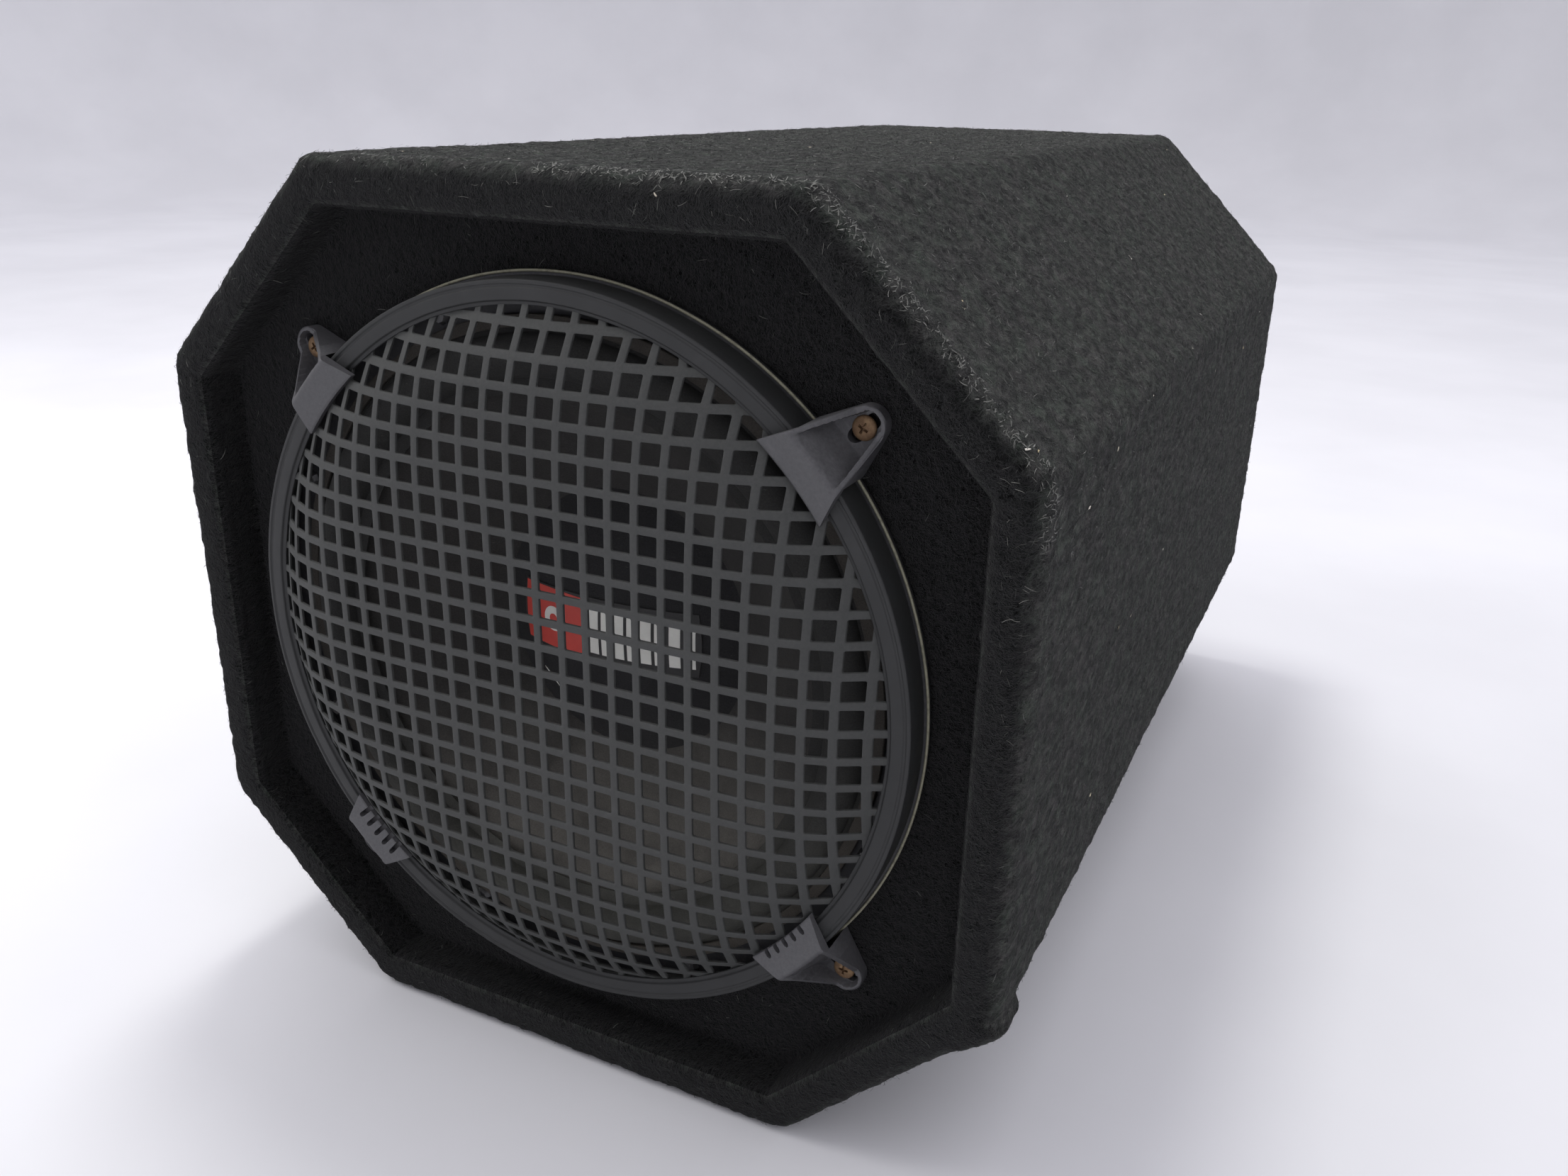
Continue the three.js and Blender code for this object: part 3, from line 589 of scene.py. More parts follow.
def cloth_material():
    n = Nodes("amber_cloth", 0.85)
    _, across, upward = radial(n)
    weft = n.math("SINE", n.math("MULTIPLY", across, 6000.0))
    warp = n.math("SINE", n.math("MULTIPLY", upward, 6000.0))
    weave = n.math("MULTIPLY", weft, warp)
    stain = n.noise(60, 3)
    colour = n.mix(n.span(weave, -0.6, 0.6), (0.18, 0.11, 0.03), (0.36, 0.24, 0.08))
    colour = n.mix(n.span(stain, 0.4, 0.75, 0.0, 0.5), colour, (0.12, 0.07, 0.02))
    return n.finish(colour, weave, 0.0002, 0.5)


def winding_material():
    n = Nodes("copper_wire", 0.32, 1.0)
    split = n.tree.nodes.new("ShaderNodeSeparateXYZ")
    n.link(n.place, split.inputs["Vector"])
    turns = n.math("SINE", n.math("MULTIPLY", split.outputs["Y"], 12000.0))
    tarnish = n.noise(160, 4)
    colour = n.mix(n.span(tarnish, 0.35, 0.7), (0.42, 0.17, 0.07), (0.72, 0.34, 0.16))
    return n.finish(colour, turns, 0.0002, 0.6)


def floor_material():
    n = Nodes("studio_floor", 0.75)
    wide = n.noise(3, 4)
    fine = n.noise(60, 4)
    colour = n.mix(n.span(wide, 0.35, 0.65), (0.78, 0.78, 0.8), (0.83, 0.83, 0.85))
    return n.finish(colour, fine, 0.0006, 0.15)


MATERIALS = {
    "felt": felt(
        "charcoal_felt", (0.0015, 0.0017, 0.0017), (0.07, 0.076, 0.066), (0.165, 0.176, 0.15), 0.35, 0.12
    ),
    # Painted shade: a much darker copy of the same felt for the recess and the rim's inner rounding, standing
    # for the shade that falls there.
    "felt_painted_shade": felt(
        "recess_felt_painted_shade", (0.001, 0.001, 0.001), (0.006, 0.0065, 0.006), (0.014, 0.015, 0.013), 0.04, 0.1
    ),
    "nap": fibre("felt_nap", (0.002, 0.0025, 0.0025), (0.05, 0.052, 0.048)),
    "fleck": fibre("felt_lint", (0.06, 0.063, 0.056), (0.26, 0.26, 0.235)),
    "speck": fibre("felt_specks", (0.42, 0.34, 0.16), (0.75, 0.73, 0.68)),
    "mesh": plastic("grille_plastic", (0.023, 0.025, 0.024), 0.6, (0.105, 0.107, 0.1), 0.8),
    "ring": plastic("ring_plastic", (0.013, 0.014, 0.014), 0.58, (0.042, 0.043, 0.042), 0.6),
    # Painted highlight: a pale metal for the bead that stands for the thin lit line on the flange's edge.
    "painted_highlight_edge": metal("painted_highlight_edge", (0.32, 0.31, 0.225), 0.55, (0.07, 0.065, 0.05), 0.5, metallic=0.3),
    "clamp": plastic("clamp_plastic", (0.043, 0.043, 0.046), 0.4, (0.175, 0.173, 0.178), 0.8, scuffs=0.3),
    "clamp_screw": metal("rusty_plating", (0.3, 0.2, 0.11), 0.5, (0.1, 0.05, 0.025), 0.9, metallic=0.8),
    "frame": metal("black_frame", (0.05, 0.05, 0.053), 0.5, (0.16, 0.15, 0.13), 0.3, metallic=0.3),
    "zinc": metal("dull_zinc", (0.4, 0.4, 0.405), 0.42, (0.2, 0.15, 0.1), 0.25, brushed=0.5),
    "nickel": metal("nickel", (0.66, 0.65, 0.62), 0.25, (0.3, 0.26, 0.2), 0.1, brushed=0.3),
    "foam": pulp("foam_rubber", (0.025, 0.025, 0.024), (0.13, 0.13, 0.11), 0.8, ribs=False),
    "gasket": pulp("pressed_fibre", (0.05, 0.045, 0.038), (0.16, 0.145, 0.12), 0.6, ribs=False),
    "cone": pulp("cone_pulp", (0.025, 0.024, 0.023), (0.2, 0.19, 0.165), 1.1),
    "cap": pulp("cap_pulp", (0.02, 0.02, 0.021), (0.14, 0.135, 0.12), 0.35, ribs=False),
    "kraft": pulp("kraft_former", (0.4, 0.29, 0.15), (0.3, 0.25, 0.18), 0.2, ribs=False),
    "ferrite": metal("ferrite", (0.06, 0.06, 0.062), 0.7, (0.12, 0.11, 0.1), 0.4, metallic=0.15),
    "cloth": cloth_material(),
    "copper": winding_material(),
    "board": board_material(),
    "cup": plastic("cup_plastic", (0.028, 0.028, 0.03), 0.38, (0.2, 0.2, 0.2), 0.12, scuffs=0.1),
    "red": plastic("lever_red", (0.5, 0.03, 0.02), 0.35, (0.5, 0.3, 0.27), 0.12, scuffs=0.1),
    "black": plastic("lever_black", (0.022, 0.022, 0.024), 0.35, (0.2, 0.2, 0.2), 0.12, scuffs=0.1),
    "print_red": plastic("badge_red", (0.72, 0.07, 0.05), 0.5, (0.6, 0.3, 0.27), 0.12, scuffs=0.05),
    "print_pale": plastic("badge_pale", (0.95, 0.95, 0.87), 0.5, (0.7, 0.68, 0.62), 0.15, scuffs=0.05),
    "print_dark": plastic("badge_ground", (0.022, 0.022, 0.023), 0.55, (0.14, 0.135, 0.12), 0.4),
    "wire_red": plastic("insulation_red", (0.42, 0.02, 0.02), 0.45, (0.3, 0.25, 0.22), 0.3),
    "wire_black": plastic("insulation_black", (0.02, 0.02, 0.02), 0.45, (0.2, 0.2, 0.2), 0.3),
}


# ---------------------------------------------------------------- felt cover

CALM = ("front", "lip")  # zones of the cover where the pile is worn short


def octagon(inset, corner, step):
    """Points round the box's section, moved inwards by an inset, with rounded corners."""
    a, b = WIDTH / 2 - inset, HEIGHT / 2 - inset
    c = CHAMFER - inset * (2 - math.sqrt(2))
    corners = [
        (a - c, b), (a, b - c), (a, -b + c), (a - c, -b),
        (-a + c, -b), (-a, -b + c), (-a, b - c), (-a + c, b),
    ]
    corners = [Vector(p) for p in corners]
    outline = []
    for i, here in enumerate(corners):
        before = (corners[i - 1] - here).normalized()
        after = (corners[(i + 1) % 8] - here).normalized()
        cut = corner * math.tan(math.radians(22.5))
        start, end = here + before * cut, here + after * cut
        for k in range(9):
            t = k / 8
            outline.append(start * (1 - t) ** 2 + here * 2 * t * (1 - t) + end * t ** 2)
        beyond = corners[(i + 1) % 8] + (here - corners[(i + 1) % 8]).normalized() * cut
        count = step[i % 2]
        for k in range(1, count):
            outline.append(end.lerp(beyond, k / count))
    return np.array([(p.x, p.y) for p in outline])


def shell_rows(spacing):
    """The cover's rows, from the edge of the speaker's hole out, over the rim and to the back."""
    sides = (int(126 / spacing), int(222 / spacing))
    inner = octagon(RIM_T, 3.0, sides)
    angle = np.arctan2(inner[:, 1], inner[:, 0])
    hole = np.stack([HOLE_R * np.cos(angle), HOLE_R * np.sin(angle)], 1)
    rows = []
    count = int(34 / spacing)
    for k in range(count + 1):
        rows.append((hole + (inner - hole) * (k / count) * 0.985, RECESS, "front"))
    rows.append((octagon(RIM_T + 0.2, 3.0, sides), RECESS - 0.6, "front"))
    for depth in np.linspace(RECESS - 2, 5.0, max(3, int(14 / spacing))):
        rows.append((octagon(RIM_T, 3.0, sides), depth, "front"))
    for k in range(1, 6):
        t = math.radians(90 * k / 5)
        rows.append((octagon(RIM_T - 5.5 * (1 - math.cos(t)), 4.0, sides), 6 - 5.5 * math.sin(t), "lip"))
    for inset in np.linspace(RIM_T - 6.5, OUTER_EDGE + 0.5, 3):
        rows.append((octagon(inset, 7.0, sides), 0.5, "edge"))
    for k in range(1, 8):
        t = math.radians(90 * k / 7)
        inset, depth = OUTER_EDGE * (1 - math.sin(t)), 0.5 + OUTER_EDGE * (1 - math.cos(t))
        rows.append((octagon(inset, 12.0, sides), depth, "edge"))
    for depth in np.linspace(OUTER_EDGE + 2.5, DEPTH - 12, int((DEPTH - 23) / spacing)):
        rows.append((octagon(0.0, 12.0, sides), depth, "side"))
    for k in range(7):
        t = math.radians(90 * k / 6)
        inset, depth = BACK_EDGE * (1 - math.cos(t)), DEPTH - BACK_EDGE + BACK_EDGE * math.sin(t)
        rows.append((octagon(inset, 12.0, sides), depth, "edge"))
    outer = octagon(BACK_EDGE, 12.0, sides)
    cup = np.array([0.0, CUP_Z - HEIGHT / 2])
    turn = np.arctan2(outer[:, 1] - cup[1], outer[:, 0])
    reach = np.minimum(
        36 / np.maximum(np.abs(np.cos(turn)), 1e-6), 26 / np.maximum(np.abs(np.sin(turn)), 1e-6)
    )
    hole = cup + np.stack([reach * np.cos(turn), reach * np.sin(turn)], 1)
    count = int(150 / spacing)
    for k in range(1, count + 1):
        rows.append((outer + (hole - outer) * k / count, DEPTH, "back"))
    return rows


def grid_faces(rows, columns):
    i, k = np.meshgrid(np.arange(rows - 1), np.arange(columns), indexing="ij")
    m = (k + 1) % columns
    here, beyond = i * columns, (i + 1) * columns
    return np.stack([here + k, here + m, beyond + m, beyond + k], -1).reshape(-1, 4)


def grid_normals(points, rows, columns):
    grid = points.reshape(rows, columns, 3)
    along = np.gradient(grid, axis=0)
    across = np.roll(grid, -1, 1) - np.roll(grid, 1, 1)
    normals = np.cross(across, along)
    normals /= np.maximum(np.linalg.norm(normals, axis=2, keepdims=True), 1e-9)
    return normals.reshape(-1, 3)


def bumps(points, scale, shift=0.0):
    return np.array([noise.noise(Vector((x * scale + shift, y * scale, z * scale))) for x, y, z in points])


def fold_height(points):
    """The wrap's cut end stands proud at the lower right front corner, then dies away along the chamfer."""
    corner = np.array([WIDTH / 2, CHAMFER])
    down = np.array([-1, -1]) / math.sqrt(2)
    along = (points[:, [0, 2]] - corner) @ down
    off = np.linalg.norm(points[:, [0, 2]] - corner - np.outer(np.clip(along, 0, 60), down), axis=1)
    height = np.clip((along + 1.0) / 1.5, 0, 1) * np.clip(1 - along / 24, 0, 1) ** 0.7
    height *= np.clip(1.6 - off / 5, 0, 1) * np.clip((30 - points[:, 1]) / 6, 0, 1)
    return 4.2 * height


def felt_cover():
    spacing = 2.1
    rows = shell_rows(spacing)
    columns = len(rows[0][0])
    points = np.concatenate([
        np.stack([outline[:, 0], np.full(columns, depth), outline[:, 1] + HEIGHT / 2], 1)
        for outline, depth, _ in rows
    ])
    zone = np.repeat([name for _, _, name in rows], columns)
    normals = grid_normals(points, len(rows), columns)
    middle = np.array([0, DEPTH / 2, HEIGHT / 2])
    side = zone == "side"
    if ((points[side] - middle) * normals[side]).sum() < 0:
        normals = -normals
    rough = np.where(zone == "edge", 1.15, np.where(np.isin(zone, CALM), 0.55, 1.1))
    waves = 0.35 * bumps(points, 0.009) + 0.22 * bumps(points, 0.06, 9)
    drawn = points * (1, 0.6, 1)
    pile = 0.42 * bumps(drawn, 0.16, 31) + 0.5 * bumps(drawn, 0.37, 57)
    shift = waves + rough * pile
    upper = (zone == "edge") & (points[:, 2] > HEIGHT * 0.6)
    shift += np.where(upper, 0.5 * bumps(points, 0.1, 77), 0)
    outward = (zone == "side") | (zone == "edge") & (points[:, 1] > 0.4)
    shift += np.where(outward, SWELL, -0.4)
    lip_share = np.clip((6 - points[:, 1]) / 5.5, 0, 1) ** 2
    shift += np.where(zone == "lip", 0.4 + SWELL * lip_share, 0)
    shift += fold_height(points)
    flat = points[:, 2] < 0.5
    shift = np.where(flat, 0.0, np.clip(shift, -1.6, 7))
    points = points + normals * shift[:, None]
    points[:, 2] = np.maximum(points[:, 2], 0.0)
    faces = grid_faces(len(rows), columns)
    piece = add_mesh("felt_cover", points, faces, MATERIALS["felt"], 0)
    piece.data.materials.append(MATERIALS["felt_painted_shade"])
    # The rows over the recess and up the rim's inner wall, and two rows of its inner rounding, take the
    # darker copy of the felt: painted shade.
    painted_shade_rows = sum(name == "front" for _, _, name in rows) + 2
    index = np.zeros(len(faces), int)
    index[: painted_shade_rows * columns] = 1
    piece.data.polygons.foreach_set("material_index", index)
    work = bmesh.new()
    work.from_mesh(piece.data)
    bmesh.ops.recalc_face_normals(work, faces=work.faces)
    work.to_mesh(piece.data)
    work.free()
    settle(piece, "enclosure", "carpet", "carpet_wrap", "carpet_bottom", "carpet_rear", "carpet_baffle")
    return points, normals, faces, zone


def strands(name, material, surface, count, length, width, lift, shade, choose):
    """Loose fibres lying on the felt: thin bent ribbons, a few standing up from it."""
    points, normals, faces, zone = surface
    a, b, c = (points[faces[:, i]] for i in (0, 1, 3))
    area = np.linalg.norm(np.cross(b - a, c - a), axis=1)
    weight = area * choose(points[faces[:, 0]], zone[faces[:, 0]])
    picked = numbers.choice(len(faces), count, p=weight / weight.sum())
    mix = numbers.random((count, 2))
    corner = [points[faces[picked, i]] for i in range(4)]
    u, v = mix[:, :1], mix[:, 1:]
    root = (corner[0] * (1 - u) + corner[1] * u) * (1 - v) + (corner[3] * (1 - u) + corner[2] * u) * v
    normal = normals[faces[picked, 0]]
    loose = numbers.normal(size=(count, 3)) * (1, 1.8, 1)
    tangent = loose - normal * (loose * normal).sum(1, keepdims=True)
    tangent /= np.linalg.norm(tangent, axis=1, keepdims=True)
    across = np.cross(normal, tangent)
    reach = numbers.uniform(*length, (count, 1))
    rise = numbers.random((count, 1)) ** 2 * lift
    bend = numbers.normal(0, 0.35, (count, 1))
    half = numbers.uniform(*width, (count, 1)) / 2
    steps = []
    for t, spread in ((0.0, 0.9), (0.4, 1.0), (0.75, 0.8), (1.0, 0.15)):
        spot = root + tangent * reach * t + across * reach * bend * t * t
        spot = spot + normal * (0.15 + reach * rise * t * (1.15 - 0.5 * t))
        sideways = across + normal * numbers.normal(0, 0.5, (count, 1))
        sideways /= np.linalg.norm(sideways, axis=1, keepdims=True)
        steps += [spot - sideways * half * spread, spot + sideways * half * spread]
    spots = np.stack(steps, 1).reshape(-1, 3)
    spots[:, 2] = np.maximum(spots[:, 2], 0.05)
    base = np.arange(count)[:, None] * 8
    ribbon = np.array([[0, 1, 3, 2], [2, 3, 5, 4], [4, 5, 7, 6]])
    quads = (base[:, None, :] + ribbon[None]).reshape(-1, 4)
    piece = add_mesh(name, spots, quads, material, 0)
    tone = np.repeat(numbers.uniform(*shade, count), 8)
    layer = piece.data.attributes.new("shade", "FLOAT", "POINT")
    layer.data.foreach_set("value", tone.astype(np.float32))
    settle(piece, "enclosure", "carpet")


def add_felt():
    surface = felt_cover()
    many = 85000

    def everywhere(points, zone):
        weight = np.where(zone == "edge", 1.5, np.where(np.isin(zone, CALM), 0.45, 1.0))
        return weight * (points[:, 2] > 0.5)

    # Pale lint is placed most thickly on the upper edges and sides, where the light falls: partly lint,
    # partly painted light.
    def upper(points, zone):
        lit = (points[:, 2] > HEIGHT * 0.55) * np.isin(zone, ("edge", "side"))
        return 0.12 + lit + np.where(zone == "edge", 0.1, 0)

    def brow(points, zone):
        front = (zone == "edge") * (points[:, 1] > 1.2) * (points[:, 1] < 16)
        right = 0.25 + 0.75 * (points[:, 0] > 0)
        return front * (points[:, 2] > HEIGHT * 0.72) * right

    def sparse(points, zone):
        return (points[:, 2] > 20) * np.where(zone == "front", 0.1, 1.0)

    for name, look, count, length, width, lift, shade, choose in (
        ("nap", "nap", many, (0.8, 2.6), (0.12, 0.24), 0.85, (0.0, 0.9), everywhere),
        ("lint", "fleck", many // 9, (1.5, 5.0), (0.1, 0.2), 0.25, (0.0, 0.8), upper),
        ("fray", "fleck", many // 110, (1.0, 3.2), (0.2, 0.45), 0.4, (0.15, 0.75), brow),
        ("specks", "speck", 70, (1.0, 2.6), (0.5, 1.1), 0.15, (0.0, 1.0), sparse),
    ):
        strands(f"felt_{name}", MATERIALS[look], surface, count, length, width, lift, shade, choose)


# ---------------------------------------------------------------- grille

def mesh_depth(radius):
    share = np.minimum(np.asarray(radius, float) / RING_FACE_R, 1)
    return MESH_BASE_Y - MESH_RISE * (1 - share ** MESH_POWER)


def hole_outline(half, corner):
    """Eight points round a square hole whose corners are cut round."""
    a, b = half, half - corner
    return [(-b, -a), (b, -a), (a, -b), (a, b), (b, a), (-b, a), (-a, b), (-a, -b)]


def grille_mesh():
    """Waffle of square holes on the dome, with bars rounded at the front."""
    half = MESH_HALF_HOLE
    levels = [(half + 0.3, 0.55, 0.0), (half + 0.1, 0.45, 0.12), (half, 0.4, 0.4), (half, 0.4, MESH_T)]
    reach, half_cell = 14, MESH_PITCH / 2
    points, faces, known = [], [], {}

    def spot(x, z, drop):
        key = (round(x, 3), round(z, 3), drop)
        if key not in known:
            known[key] = len(points)
            pull = min(1.0, 153.0 / max(math.hypot(x, z), 1))
            depth = float(mesh_depth(math.hypot(x, z))) + drop
            points.append((MID_X + x * pull, depth, MID_Z + z * pull))
        return known[key]

    def plate(x0, z0, ring, drop, back):
        """The flat between the cell's edge and the hole's outline."""
        h, b = half_cell, abs(ring[0][0])
        edge = [(-b, -h), (b, -h), (h, -b), (h, b), (b, h), (-b, h), (-h, b), (-h, -b)]
        corners = [(h, -h), (h, h), (-h, h), (-h, -h)]
        inner = [spot(x0 + x, z0 + z, drop) for x, z in ring]
        outer = [spot(x0 + x, z0 + z, drop) for x, z in edge]
        tips = [spot(x0 + x, z0 + z, drop) for x, z in corners]
        made = []
        for k in range(4):
            made.append((inner[2 * k], outer[2 * k], outer[2 * k + 1], inner[2 * k + 1]))
            n = (2 * k + 2) % 8
            made.append((inner[2 * k + 1], outer[2 * k + 1], tips[k], outer[n], inner[n]))
        faces.extend(face[::-1] if back else face for face in made)

    for i in range(-reach, reach + 1):
        for j in range(-reach, reach + 1):
            x0, z0 = i * MESH_PITCH, j * MESH_PITCH
            if math.hypot(max(abs(x0) - half_cell, 0), max(abs(z0) - half_cell, 0)) > MESH_EDGE_R:
                continue
            rings = [(hole_outline(side, corner), drop) for side, corner, drop in levels]
            plate(x0, z0, rings[0][0], rings[0][1], False)
            plate(x0, z0, rings[-1][0], rings[-1][1], True)
            for (ring, drop), (after, below) in zip(rings, rings[1:]):
                for k in range(8):
                    m = (k + 1) % 8
                    faces.append((
                        spot(x0 + ring[k][0], z0 + ring[k][1], drop),
                        spot(x0 + ring[m][0], z0 + ring[m][1], drop),
                        spot(x0 + after[m][0], z0 + after[m][1], below),
                        spot(x0 + after[k][0], z0 + after[k][1], below),
                    ))
    lattice = face_outwards(add_mesh("lattice", points, faces, MATERIALS["mesh"], 0))
    seat = MESH_BASE_Y + MESH_T
    band = lathe("band", soften([
        (150.6, MESH_BASE_Y + 0.15), (157.4, MESH_BASE_Y + 0.15), (157.4, FLANGE_Y - GAP),
        (155.6, FLANGE_Y - GAP), (155.6, seat), (150.6, seat),
    ], 0.4), MATERIALS["mesh"])
    grille = join_pieces([lattice, band], "grille_waffle")
    shade_smooth(grille, 38)
    settle(grille, "enclosure", "grille_plastic", "grille")


def grille_ring():
    """Flat-faced ring with a step down to the mesh and a straight outer wall."""
    face, seat = RING_FACE_Y, MESH_BASE_Y - 0.2
    loop = soften([
        (RING_FACE_R, face + 1.3), (RING_FACE_R + 1.5, face + 1.1), (RING_FACE_R + 2.0, face),
        (RING_R - 3.4, face + 0.1), (RING_R - 3.0, face + 0.45), (RING_R - 2.2, face + 0.45),
        (RING_R - 1.7, face - 0.1), (RING_R - 0.2, face + 0.1), (RING_R, face + 5),
        (RING_R - 0.1, FLANGE_Y - GAP), (RING_R - 2, FLANGE_Y - GAP), (RING_R - 2, seat), (RING_FACE_R, seat),
    ], 0.6, 4)
    ring = lathe("grille_ring_moulded", loop, MATERIALS["ring"], 240, 0.25)
    settle(ring, "enclosure", "ring_plastic", "grille_ring")


# ---------------------------------------------------------------- clamps and screws

def clamp_profile(radius):
    """Depth of the clamp's front along its middle: lip, ridge, outer wall and sunken ear."""
    stations = [140, 147, 158.4, 159.6, 160.8, 163.4, 165.2, 167.4, 170, 190]
    depths = [0.4, -0.7, -3.15, -3.2, -2.3, 4.6, 10.6, 15.2, 16.9, 16.9]
    return np.interp(radius, stations, depths)


def rib_profile(radius):
    stations = [140, 147, 158.4, 159.6, 160.8, 164.8, 178, 190]
    depths = [0.4, -0.7, -3.15, -3.2, -2.7, 1.6, 13.2, 14.8]
    return np.interp(radius, stations, depths)


def smooth_step(value):
    t = np.clip(value, 0, 1)
    return t * t * (3 - 2 * t)


def clamp_solid(comb):
    """One clamp with X radial from the driver's axis, in millimetres."""
    lip_r, end_r, end_at, half = 147.0, 7.4, 177.2, 19.3
    taper = math.atan2(half - end_r, end_at - lip_r)
    rows, columns = 72, 46
    front = []
    for i in range(rows + 1):
        u = i / rows
        for k in range(columns + 1):
            v = 2 * k / columns - 1
            v = math.copysign(abs(v) ** 0.85, v)
            across = half * v
            start = (math.sqrt(lip_r ** 2 - across ** 2), across)
            turn = v * (math.pi / 2 - taper)
            end = (end_at + end_r * math.cos(turn), end_r * math.sin(turn))
            front.append((start[0] + (end[0] - start[0]) * u, start[1] + (end[1] - start[1]) * u))
    plan = np.array(front)
    radius = np.hypot(plan[:, 0], plan[:, 1])
    limit = half - (plan[:, 0] - lip_r) * math.tan(taper)
    side = (limit - np.abs(plan[:, 1])) * math.cos(taper)
    round_end = end_r - np.hypot(plan[:, 0] - end_at, plan[:, 1])
    side = np.where(plan[:, 0] > end_at + end_r * math.sin(taper), round_end, side)
    side = np.maximum(side, 0)
    rib = 1 - smooth_step((side - 1.7) / 0.7)
    low = clamp_profile(radius)
    high = rib_profile(radius)
    depth = low + (high - low) * rib
    depth += 0.45 * (1 - np.sqrt(1 - (1 - np.clip(side / 0.45, 0, 1)) ** 2))
    depth += 0.35 * (1 - np.sqrt(1 - (1 - np.clip((radius - lip_r) / 0.35, 0, 1)) ** 2))
    floor = RECESS - GAP
    top = [(x, y, t) for (x, t), y in zip(plan, depth)]
    base = [(x, floor, t) for x, t in plan]
    count = len(top)
    points = top + base
    faces = []
    width = columns + 1
    for i in range(rows):
        for k in range(columns):
            a, b = i * width + k, i * width + k + 1
            faces.append((a, b, b + width, a + width))
            faces.append((a + count, a + width + count, b + width + count, b + count))
    rim_loop = list(range(width))
    rim_loop += [i * width + columns for i in range(1, rows + 1)]
    rim_loop += [rows * width + k for k in range(columns - 1, -1, -1)]
    rim_loop += [i * width for i in range(rows - 1, 0, -1)]
    for here, after in zip(rim_loop, rim_loop[1:] + rim_loop[:1]):
        faces.append((here, here + count, after + count, after))
    solid = face_outwards(add_mesh("clamp", points, faces, MATERIALS["clamp"], 0))
    under = prism_piece("under", circle(162.2, 240), RING_FACE_Y - 0.35, 60, MATERIALS["clamp"])
    slot = []
    for middle, start in ((170.6, math.pi / 2), (179.2, -math.pi / 2)):
        turns = np.linspace(start, start + math.pi, 13)
        slot += [(middle + 2.9 * math.cos(a), 2.9 * math.sin(a)) for a in turns]
    tools = [under, prism_piece("slot", slot, 0, 60, MATERIALS["clamp"])]
    if comb:
        for k in range(5):
            middle = (k - 2) * 5.6
            angle = math.atan2(middle, 150)
            radial_way = Vector((math.cos(angle), math.sin(angle)))
            sideways = Vector((-radial_way.y, radial_way.x)) * 1.15
            inner, outer = radial_way * 143, radial_way * comb
            tip = radial_way * (comb + 1.1)
            corners = [inner - sideways, outer - sideways, tip - sideways * 0.45,
                       tip + sideways * 0.45, outer + sideways, inner + sideways]
            tools.append(prism_piece("gap", [tuple(c) for c in corners], -20, 1.6, MATERIALS["clamp"]))
    cut_away(solid, *tools)
    shade_smooth(solid, 42)
    return solid


def turned_about_axis(mesh, degrees, name):
    """Copy of a mesh made at angle zero about its own origin, turned and set on the driver's axis."""
    piece = bpy.data.objects.new(name, mesh.copy())
    piece.data.name = name
    shift = Matrix.Translation((AXIS_X, RIM, AXIS_Z))
    home = Matrix.Translation((0, -RIM, 0))
    piece.data.transform(shift @ Matrix.Rotation(math.radians(-degrees), 4, "Y") @ home)
    bpy.context.collection.objects.link(piece)
    return piece


def pan_head(radius, height, material, shank=2.0, length=12.0):
    """Domed screw head with a cross recess; its seat is at depth zero, about the Y axis."""
    loop = [(0, -height)]
    for k in range(1, 7):
        t = k / 6 * math.pi / 2
        loop.append((radius * math.sin(t), -height * (0.35 + 0.65 * math.cos(t))))
    loop += [(radius, -0.15), (radius - 0.2, 0), (shank, 0)]
    for k in range(8):
        loop += [(shank + 0.25, 1.0 + k * 1.2), (shank - 0.15, 1.6 + k * 1.2)]
    loop += [(0.4, length), (0, length)]
    sides = 36
    points = [(x, y, z) for r, y in loop for x, z in circle(r, sides)]
    head = face_outwards(add_mesh("screw", points, band_faces(len(loop), sides), material, 0))
    arm, thick, deep = radius * 0.56, radius * 0.13, height * 0.75
    tools = []
    for long_x in (True, False):
        a, b = (arm, thick) if long_x else (thick, arm)
        top = [(-a, -height - 1, -b), (a, -height - 1, -b), (a, -height - 1, b), (-a, -height - 1, b)]
        foot = [(x * 0.55, -height + deep, z * 0.7) for x, _, z in top]
        box_faces = [(0, 1, 2, 3), (7, 6, 5, 4), (0, 4, 5, 1), (1, 5, 6, 2), (2, 6, 7, 3), (3, 7, 4, 0)]
        tools.append(face_outwards(add_mesh("cross", top + foot, box_faces, material, 0)))
    cut_away(head, *tools)
    shade_smooth(head, 35)
    mesh = head.data
    bpy.data.objects.remove(head)
    mesh.transform(Matrix.Translation((0, -RIM, 0)))
    return mesh


def set_screw(mesh, name, spot, depth, spin, slot, node, tilt=0.0):
    piece = bpy.data.objects.new(name, mesh.copy())
    piece.data.name = name
    turn = Matrix.Rotation(math.radians(tilt), 4, "X") @ Matrix.Rotation(math.radians(spin), 4, "Y")
    piece.data.transform(Matrix.Translation((spot[0] * MM, RIM + depth * MM, spot[1] * MM)) @ turn)
    bpy.context.collection.objects.link(piece)
    settle(piece, "enclosure", slot, node)


def polar(radius, degrees):
    a = math.radians(degrees)
    return (MID_X + radius * math.cos(a), MID_Z + radius * math.sin(a))


